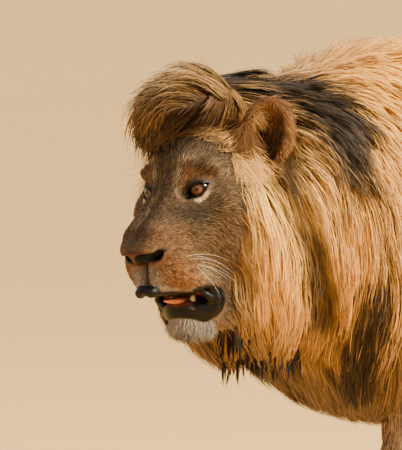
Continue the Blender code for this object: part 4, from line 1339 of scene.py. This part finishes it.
def mane_tone(roots, middles, rng, lock):
    """Each lock takes the marking near its middle, with a shade of its own."""
    shade = np.random.default_rng(LOCK_SEED).uniform(0.90, 1.10, int(lock.max()) + 1)[lock]
    spots = middles * 0.85 + roots * 0.15 + rng.normal(size=roots.shape) * 0.008
    edge = (1 - ramp(mane_share(roots), 0.0, 0.4)) * rng.uniform(0.2, 1.0, len(roots))
    colour = mix(mane_colour(spots), marking(roots), edge * 0.7)
    return colour * (shade * rng.uniform(0.70, 1.30, len(roots)))[:, None]


# ---- eyes, teeth, tongue, whiskers ----
def box_centre(node):
    low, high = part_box(node)
    return (np.array(low) + np.array(high)) / 2


SHIFT = (box_centre("eye_left") + box_centre("eye_right")) / 2 - from_head(EYE_CENTRE * (0, 1, 1))
GAZE = (0.30, -0.952, -0.04)
RIGHT_GAZE_IN = 0.10  # the right eye looks that much further in, to meet the same point
IRIS_AMBER, IRIS_DEEP = linear(104, 66, 34), linear(48, 29, 16)


def add_eyes():
    made = eye_material()
    for side, sign in (("left", 1), ("right", -1)):
        middle = from_head(EYE_CENTRE * (sign, 1, 1))
        gaze = unit(HEAD_AXES @ (np.array(GAZE) * (sign, 1, 1) + (RIGHT_GAZE_IN * (1 - sign) / 2, 0, 0)))
        work = bmesh.new()
        bmesh.ops.create_uvsphere(work, u_segments=64, v_segments=64, radius=EYE_RADIUS)
        spin = Vector((0, 0, 1)).rotation_difference(Vector(gaze)).to_matrix().to_4x4()
        bmesh.ops.transform(work, matrix=spin, verts=work.verts)
        mesh = bpy.data.meshes.new("eye_" + side)
        work.to_mesh(mesh)
        work.free()
        spots = read(mesh.vertices, "co", 3)
        angle = np.degrees(np.arccos(np.clip(unit(spots) @ gaze, -1, 1)))
        spots *= (1 + 0.055 * np.exp(-(angle / 24) ** 4))[:, None]
        c = mix(np.tile(IRIS_AMBER, (len(spots), 1)), IRIS_DEEP, ramp(angle, 24, 35) * 0.8)
        c = mix(c, IRIS_DEEP, (1 - ramp(angle, 10, 18)) * 0.6)
        c = mix(c, BLACK * 0.3, 1 - ramp(angle, 8.5, 10.0))
        c = mix(c, BLACK * 0.5, ramp(angle, 34.5, 37.5))
        c = mix(c, linear(44, 31, 25), ramp(angle, 41, 48))
        # painted shade: the top of the iris darkened as if under the lid and brow
        c = mix(c, c * 0.35, ramp(spots[:, 2], 0.000, 0.009))
        mesh.vertices.foreach_set("co", (spots + middle + SHIFT).ravel())
        mesh.shade_smooth()
        paint(mesh, c)
        obj = add_object("eye_" + side, mesh, made)
        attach(obj, "root")
        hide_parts("eye_" + side)


def add_canines():
    made = plain_material("tooth", linear(222, 200, 158), 0.35, 300, 0.0003)
    rings, around = 14, 20
    t = np.linspace(0, 1, rings)
    turnings = np.linspace(0, 2 * math.pi, around, endpoint=False)
    radius = 0.0064 * np.sqrt(np.clip(1 - t ** 1.6, 0, 1)) + 0.0004
    ring = np.stack((np.cos(turnings), np.sin(turnings) * 1.2, np.zeros(around)), 1)
    quads = np.array([(i * around + j, i * around + (j + 1) % around, (i + 1) * around + (j + 1) % around,
                       (i + 1) * around + j) for i in range(rings - 1) for j in range(around)])
    for side, sign in (("left", 1), ("right", -1)):
        middle = np.stack((0.001 * t * sign, 0.0035 * t * t, -0.015 + 0.030 * t), 1)
        points = (middle[:, None] + ring[None] * radius[:, None, None]).reshape(-1, 3)
        points = from_head(points + np.array(CANINE) * (sign, 1, 1))
        obj = add_object("canine_" + side, quad_mesh("canine_" + side, points, quads), made)
        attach(obj, "root")
        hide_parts("canine_" + side)


TONGUE_MIDDLE = (0, 0.004, -0.191)


def tongue_field(p):
    q = to_head(p)
    f = ball(q, TONGUE_MIDDLE, (0.0145, 0.054, 0.0064), -5)
    return carve(f, limb(q, (0, -0.045, -0.1815), (0, 0.050, -0.1855), 0.0006, 0.0006), 0.004)


def add_tongue():
    middle = from_head(TONGUE_MIDDLE)
    points, quads = surface(tongue_field, middle - 0.07, middle + 0.07, 0.0016)
    mesh = quad_mesh("tongue", settle_on(tongue_field, points)[0], quads)
    obj = add_object("tongue", mesh, plain_material("tongue", linear(176, 104, 76), 0.45, 900, 0.0004))
    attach(obj, "root")
    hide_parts("tongue")


HAIR_FACING = (0.61, -0.78, 0.10)  # towards the camera, in head coordinates


def hairs_from(name, roots, ways, lengths, droop, width, colour, unwrap, made, seed, stations=7, sway=0.10,
               dark_tip=None):
    """Single hairs that start along their own ways, bend down and face the camera."""
    rng = np.random.default_rng(seed)
    count = len(roots)
    t = np.linspace(0, 1, stations)[None, :, None]
    ways = unit(ways + rng.normal(size=ways.shape) * sway)
    long = lengths[:, None, None]
    path = roots[:, None] + ways[:, None] * long * t
    path = path + np.array((0, 0, -1.0)) * droop * long * t ** 2
    path = path + rng.normal(size=(count, 1, 3)) * 0.6 * sway * long * t ** 2
    tangent = unit(np.gradient(path, axis=1))
    facing = np.broadcast_to(unit(from_head(HAIR_FACING) - EYE_MIDDLE), path.shape)
    side = unit(np.cross(facing, tangent) + rng.normal(size=(count, 1, 3)) * 0.3)
    widths = width * (1 - 0.6 * t[:, :, 0] ** 2)
    shades = colour * rng.uniform(0.8, 1.15, (count, 1))
    colours = np.repeat(shades[:, None], stations, 1)
    if dark_tip is not None:
        colours = colours + (dark_tip - colours) * ramp(t, 0.25, 0.7)
    return ribbons(name, path, side, widths, np.clip(colours, 0, 1), facing, unwrap.places(roots), made)


def add_whiskers(unwrap):
    rng = np.random.default_rng(40)
    roots, ways, lengths = [], [], []
    for sign in (1, -1):
        for _ in range(9):
            row, step = rng.uniform(0, 3), rng.uniform(0, 4)
            at = np.array((0.052 - 0.001 * row, -0.060 + 0.014 * step + 0.004 * row, -0.112 - 0.0125 * row))
            p = settle_on(head_skin, from_head(at * (sign, 1, 1))[None], 6, 0.02)[0][0]
            roots.append(p)
            way = np.array((0.50, 0.72, 0.10 - 0.18 * row)) + rng.normal(size=3) * 0.24
            ways.append(HEAD_AXES @ (way * (sign, 1, 1)))
            lengths.append(rng.uniform(0.040, 0.095))
    made = coat_material("whisker", 0.35)
    obj = hairs_from("whiskers", np.array(roots), np.array(ways), np.array(lengths), 0.40, 0.00045,
                     linear(236, 226, 210), unwrap, made, 41, 12, 0.05)


def tuft_share(p, top):
    """1 on the last part of the tail, where the tuft grows."""
    away = distance_to_line(p, [point for point, _ in TAIL_TUFT])
    return (1 - ramp(away, 0.050, 0.060)) * (p[:, 2] < top)


def add_tail_tuft(ground, unwrap, made):
    rng = np.random.default_rng(50)
    count = int(7000 * DENSITY)
    roots, normals = ground.sow(count, tuft_share(ground.middle, TUFT_TOP), 51)
    ways = unit(np.subtract(TAIL_TUFT[-1][0], TAIL_TUFT[0][0])) + normals * 0.15
    obj = hairs_from("tail_tuft", roots, ways, rng.uniform(0.030, 0.062, count), 0.20, 0.0022,
                     TIP_DARK * 1.3, unwrap, made, 52, 5, 0.10)


def toward_ear(q):
    """How far back and out a place on the head lies, seen along the photo's view."""
    return 0.79 * q[:, 0] + 0.62 * q[:, 1]


def near_roots(ground, count, centre, radii, seed):
    """Roots in an oval patch of skin, in mirrored head coordinates."""
    m = mirrored(to_head(ground.middle))
    return ground.sow(count, (ball(m, centre, radii) < 0).astype(float), seed)


def head_ways(roots, way):
    """One direction for both sides, given on the lion's left side."""
    side = np.ones_like(roots)
    side[:, :1] = np.sign(to_head(roots)[:, :1])
    return (side * way) @ HEAD_AXES.T


def add_head_hair(ground, unwrap, made):
    """The long hair round the ears, on the chin and under the throat."""
    rng = np.random.default_rng(60)
    pale, gold, lining = linear(236, 188, 112), linear(112, 76, 42), linear(158, 118, 68)
    # centre, radii, count, way, length, droop, width, colour
    tufts = (
        ((0.094, 0.092, 0.056), (0.024, 0.030, 0.024), 3000, (0.3, 0.1, -0.9), 0.064, 0.35, 0.0011, pale),
        ((0.080, 0.092, 0.092), (0.024, 0.036, 0.026), 2200, (-0.1, -0.3, -0.85), 0.055, 0.40, 0.0011, gold),
        ((0.098, 0.108, 0.122), (0.016, 0.030, 0.020), 400, (0.55, 0.35, -0.5), 0.026, 0.20, 0.0009, lining),
    )
    for i, (centre, radii, count, way, long, droop, width, colour) in enumerate(tufts):
        count = int(count * DENSITY)
        roots, normals = near_roots(ground, count, centre, radii, 61 + i)
        ways = head_ways(roots, way) + normals * 0.35
        obj = hairs_from(f"ear_tuft_{i}", roots, ways, long * rng.uniform(0.5, 1.1, count), droop, width,
                         colour, unwrap, made, 66 + i, 6, 0.30)
    count = int(3500 * DENSITY)
    roots, normals = near_roots(ground, count, (0.0, 0.004, -0.232), (0.050, 0.036, 0.022), 71)
    ways = head_ways(roots, (0.05, 0.10, -1.0)) + normals * 0.3
    obj = hairs_from("chin_fur", roots, ways, rng.uniform(0.008, 0.022, count), 0.15, 0.0014,
                     CHIN * 0.85, unwrap, made, 72, 4, 0.25)
    count = int(420 * DENSITY)
    roots, normals = near_roots(ground, count, (0.0, 0.000, -0.240), (0.024, 0.026, 0.012), 73)
    ways = head_ways(roots, (0.02, -0.05, -1.0)) + normals * 0.15
    obj = hairs_from("chin_locks", roots, ways, rng.uniform(0.010, 0.022, count), 0.10, 0.0016,
                     CHIN * 0.4, unwrap, made, 74, 4, 0.12, TIP_DARK)
    add_wet_locks(ground, unwrap, made)


THROAT_LOCKS, LOCK_HAIRS = 100, 16


def add_wet_locks(ground, unwrap, made):
    """Dark pointed locks that hang under the throat."""
    rng = np.random.default_rng(80)
    h = to_head(ground.middle)
    under = (ball(mirrored(h), (0.045, 0.150, -0.262), (0.100, 0.115, 0.078)) < 0) * (h[:, 2] < -0.215)
    under = (under * (toward_ear(h) > 0.060)).astype(float)
    tops, _ = ground.sow(THROAT_LOCKS, under, 81)
    roots, _ = ground.sow(9000, under, 82)
    tree = nearest_tree(roots)
    chosen, ways, lengths = [], [], []
    for top in tops:
        steps = top - np.array((0, 0, 1.0)) * np.arange(0.0, 0.12, 0.002)[:, None]
        depth = np.argmax(outline(steps) > 0) * 0.002
        tip = top + (rng.normal() * 0.006, rng.normal() * 0.006, -depth - rng.uniform(0.025, 0.062))
        for _, index, _ in tree.find_n(Vector(top), LOCK_HAIRS):
            way = tip + rng.normal(size=3) * 0.0012 - roots[index]
            chosen.append(roots[index])
            ways.append(way)
            lengths.append(np.linalg.norm(way) * rng.uniform(0.85, 1.0))
    obj = hairs_from("throat_locks", np.array(chosen), np.array(ways), np.array(lengths), 0.0, 0.0015,
                     BROWN, unwrap, made, 83, 6, 0.0, TIP_DARK)


# ---- the whole coat ----
def face_length(p):
    m = mirrored(to_head(p))
    snout = ramp(-m[:, 1], 0.0, 0.07)
    brow = ramp(m[:, 2], 0.055, 0.105)
    chin = ramp(-m[:, 2], 0.205, 0.230)
    long = 0.0090 - 0.0042 * snout + 0.0060 * chin + 0.0040 * ramp(m[:, 1], 0.02, 0.09) + 0.016 * brow
    bare_edge = np.minimum(lid_gap(m) - 0.004, leather_field(m))
    bare_edge = np.minimum(bare_edge, distance_to_line(m, LOWER_LIP) - 0.0115)
    bare_edge = np.minimum(bare_edge, distance_to_line(m, UPPER_LIP) - 0.0050)
    return long * (0.30 + 0.70 * ramp(bare_edge, 0.000, 0.016))


def body_length(p):
    return 0.024 - 0.012 * down_the_legs(p)


def body_width(p):
    return 0.0030 - 0.0010 * down_the_legs(p)


def down_the_legs(p):
    return ramp(-p[:, 2], -0.55, -0.15)


def add_coat(ground, unwrap):
    middle = ground.middle
    mane = mane_share(middle)
    ears = ear_share(middle)
    face = (1 - ramp(head_shape(middle), 0.004, 0.016)) * (1 - mane) * (1 - ears)
    body = np.clip(1 - mane - face - ears, 0, 1)

    fur = coat_material("face_fur", 0.75)
    for i, seed in enumerate((101, 102)):
        obj = short_coat(f"face_fur_{i}", ground, unwrap, 130000, face, face_length, 0.0010, 0.22,
                         seed, fur, 2)
    obj = short_coat("face_tufts", ground, unwrap, 34000, face, lambda p: face_length(p) * 1.5, 0.0017,
                     0.24, 103, fur, 3, 1.5, (0.40, 1.85))
    hide = coat_material("body_fur", 0.75)
    for i, seed in enumerate((111, 112)):
        area = body * (1 - tuft_share(middle, TUFT_TOP + 0.01))
        obj = short_coat(f"body_fur_{i}", ground, unwrap, 44000, area, body_length, body_width, 0.13,
                         seed, hide)
    obj = short_coat("ear_fur", ground, unwrap, 20000, ears * (1 - 0.5 * mane), 0.014, 0.0011, 0.45, 121,
                     coat_material("ear_fur", 0.75))

    m = mirrored(to_head(middle))
    reach = toward_ear(m) - 0.112 + 0.24 * ramp(-m[:, 2], 0.02, 0.24) * 0.19
    ruff = ramp(reach, -0.006, 0.012) * ramp(-m[:, 2], -0.035, -0.010) * (1 - ramp(-m[:, 2], 0.225, 0.245))
    everywhere = np.maximum(mane, ruff * face) * (1 - ears)
    dark = everywhere * (1 - ramp(dark_band(mirrored(middle)), -0.010, 0.020))
    lines = guides(ground, MANE_LOCKS, everywhere, 131)
    hair = coat_material("mane", 0.60, 0.05)
    # name, slot, hairs, where, width, how far they gather into locks, share of the lock's length
    pieces = (("pale_mane_0", "pale_mane", 16500, everywhere, 0.0020, (0.25, 0.65), (0.80, 1.0)),
              ("pale_mane_1", "pale_mane", 16500, everywhere, 0.0015, (0.15, 0.55), (0.75, 1.0)),
              ("pale_mane_2", "pale_mane", 16500, everywhere, 0.0012, (0.10, 0.45), (0.70, 1.0)),
              ("pale_mane_3", "pale_mane", 16500, everywhere, 0.0010, (0.05, 0.35), (0.70, 1.0)),
              ("dark_mane", "dark_mane", 10000, dark, 0.0015, (0.10, 0.60), (0.70, 1.0)))
    for i, (name, slot, count, where, width, clump, reach) in enumerate(pieces):
        obj = mane_piece(name, ground, unwrap, lines, count, where, width, clump, 141 + i, hair, reach)
    add_head_hair(ground, unwrap, hair)
    add_tail_tuft(ground, unwrap, hair)
    add_whiskers(unwrap)


# ---- floor, light and camera ----
VIEW_TURN, VIEW_RISE, VIEW_AWAY = 55.0, 6.0, 7.5
FRAME_HEIGHT = 0.7785
SENSOR_HEIGHT = 36.0
EYES_IN_FRAME = (0.0502, 0.0588)  # from the eyes to the middle of the picture, right and down
LIGHT_AWAY = 4.2
FLOOR_HALF = 80


def view_axes(azimuth, elevation):
    a, e = math.radians(azimuth), math.radians(elevation)
    right = np.array((math.cos(a), math.sin(a), 0))
    back = np.array((math.sin(a) * math.cos(e), -math.cos(a) * math.cos(e), math.sin(e)))
    return right, back, np.cross(back, right)


def point_at(obj, aim, back, away):
    """Put a light or camera that far back from its aim, looking at it."""
    obj.location = aim + back * away
    obj.rotation_mode = "QUATERNION"
    obj.rotation_quaternion = Vector(back).to_track_quat("Z", "Y")


def add_light(name, azimuth, elevation, size, power, colour, aim, kind="AREA"):
    """A soft light; size is its side in metres, or the angle of a sun."""
    light = bpy.data.lights.new(name, kind)
    if kind == "SUN":
        light.angle = size
    else:
        light.size = size
    light.energy = power
    light.color = colour
    point_at(link(name, light), aim, view_axes(azimuth, elevation)[1], LIGHT_AWAY)


def add_stage():
    mesh = bpy.data.meshes.new("floor")
    corners = [(x * FLOOR_HALF, y * FLOOR_HALF, 0) for x, y in ((-1, -1), (1, -1), (1, 1), (-1, 1))]
    mesh.from_pydata(corners, [], [(0, 1, 2, 3)])
    made = plain_material("floor", linear(255, 206, 128), 0.9, 0.6, 0.0002, 0.98, 1.0)
    floor = add_object("floor", mesh, made)
    world = bpy.data.worlds.new("studio")
    world.use_nodes = True
    sky = world.node_tree.nodes["Background"]
    sky.inputs["Color"].default_value = (1.0, 0.97, 0.94, 1)
    sky.inputs["Strength"].default_value = 0.75
    bpy.context.scene.world = world
    eyes = EYE_MIDDLE + SHIFT
    # name, azimuth, elevation, size, power, colour, aim
    add_light("key", 122, 36, 1.4, 360, (1.0, 0.87, 0.60), eyes + (0.05, 0.2, -0.1))
    add_light("fill", 20, 25, 3.0, 40, (1.0, 0.98, 0.95), eyes)
    add_light("rim", 235, 40, 2.0, 60, (1.0, 0.90, 0.76), eyes)
    add_light("broad", 122, 36, math.radians(20), 4.2, (1.0, 0.88, 0.66), eyes, "SUN")
    right, back, up = view_axes(VIEW_TURN, VIEW_RISE)
    camera = bpy.data.cameras.new("camera")
    camera.sensor_fit = "VERTICAL"
    camera.sensor_height = SENSOR_HEIGHT
    camera.lens = SENSOR_HEIGHT * VIEW_AWAY / FRAME_HEIGHT
    camera.clip_end = 500
    obj = link("camera", camera)
    point_at(obj, eyes + right * EYES_IN_FRAME[0] - up * EYES_IN_FRAME[1], back, VIEW_AWAY)
    bpy.context.scene.camera = obj


def main():
    points, quads, normals, first = build_skin()
    add_skin(points, quads, normals)
    add_eyes()
    add_canines()
    add_tongue()
    add_coat(Ground(points, quads, normals, first), Unwrap())
    add_stage()


main()
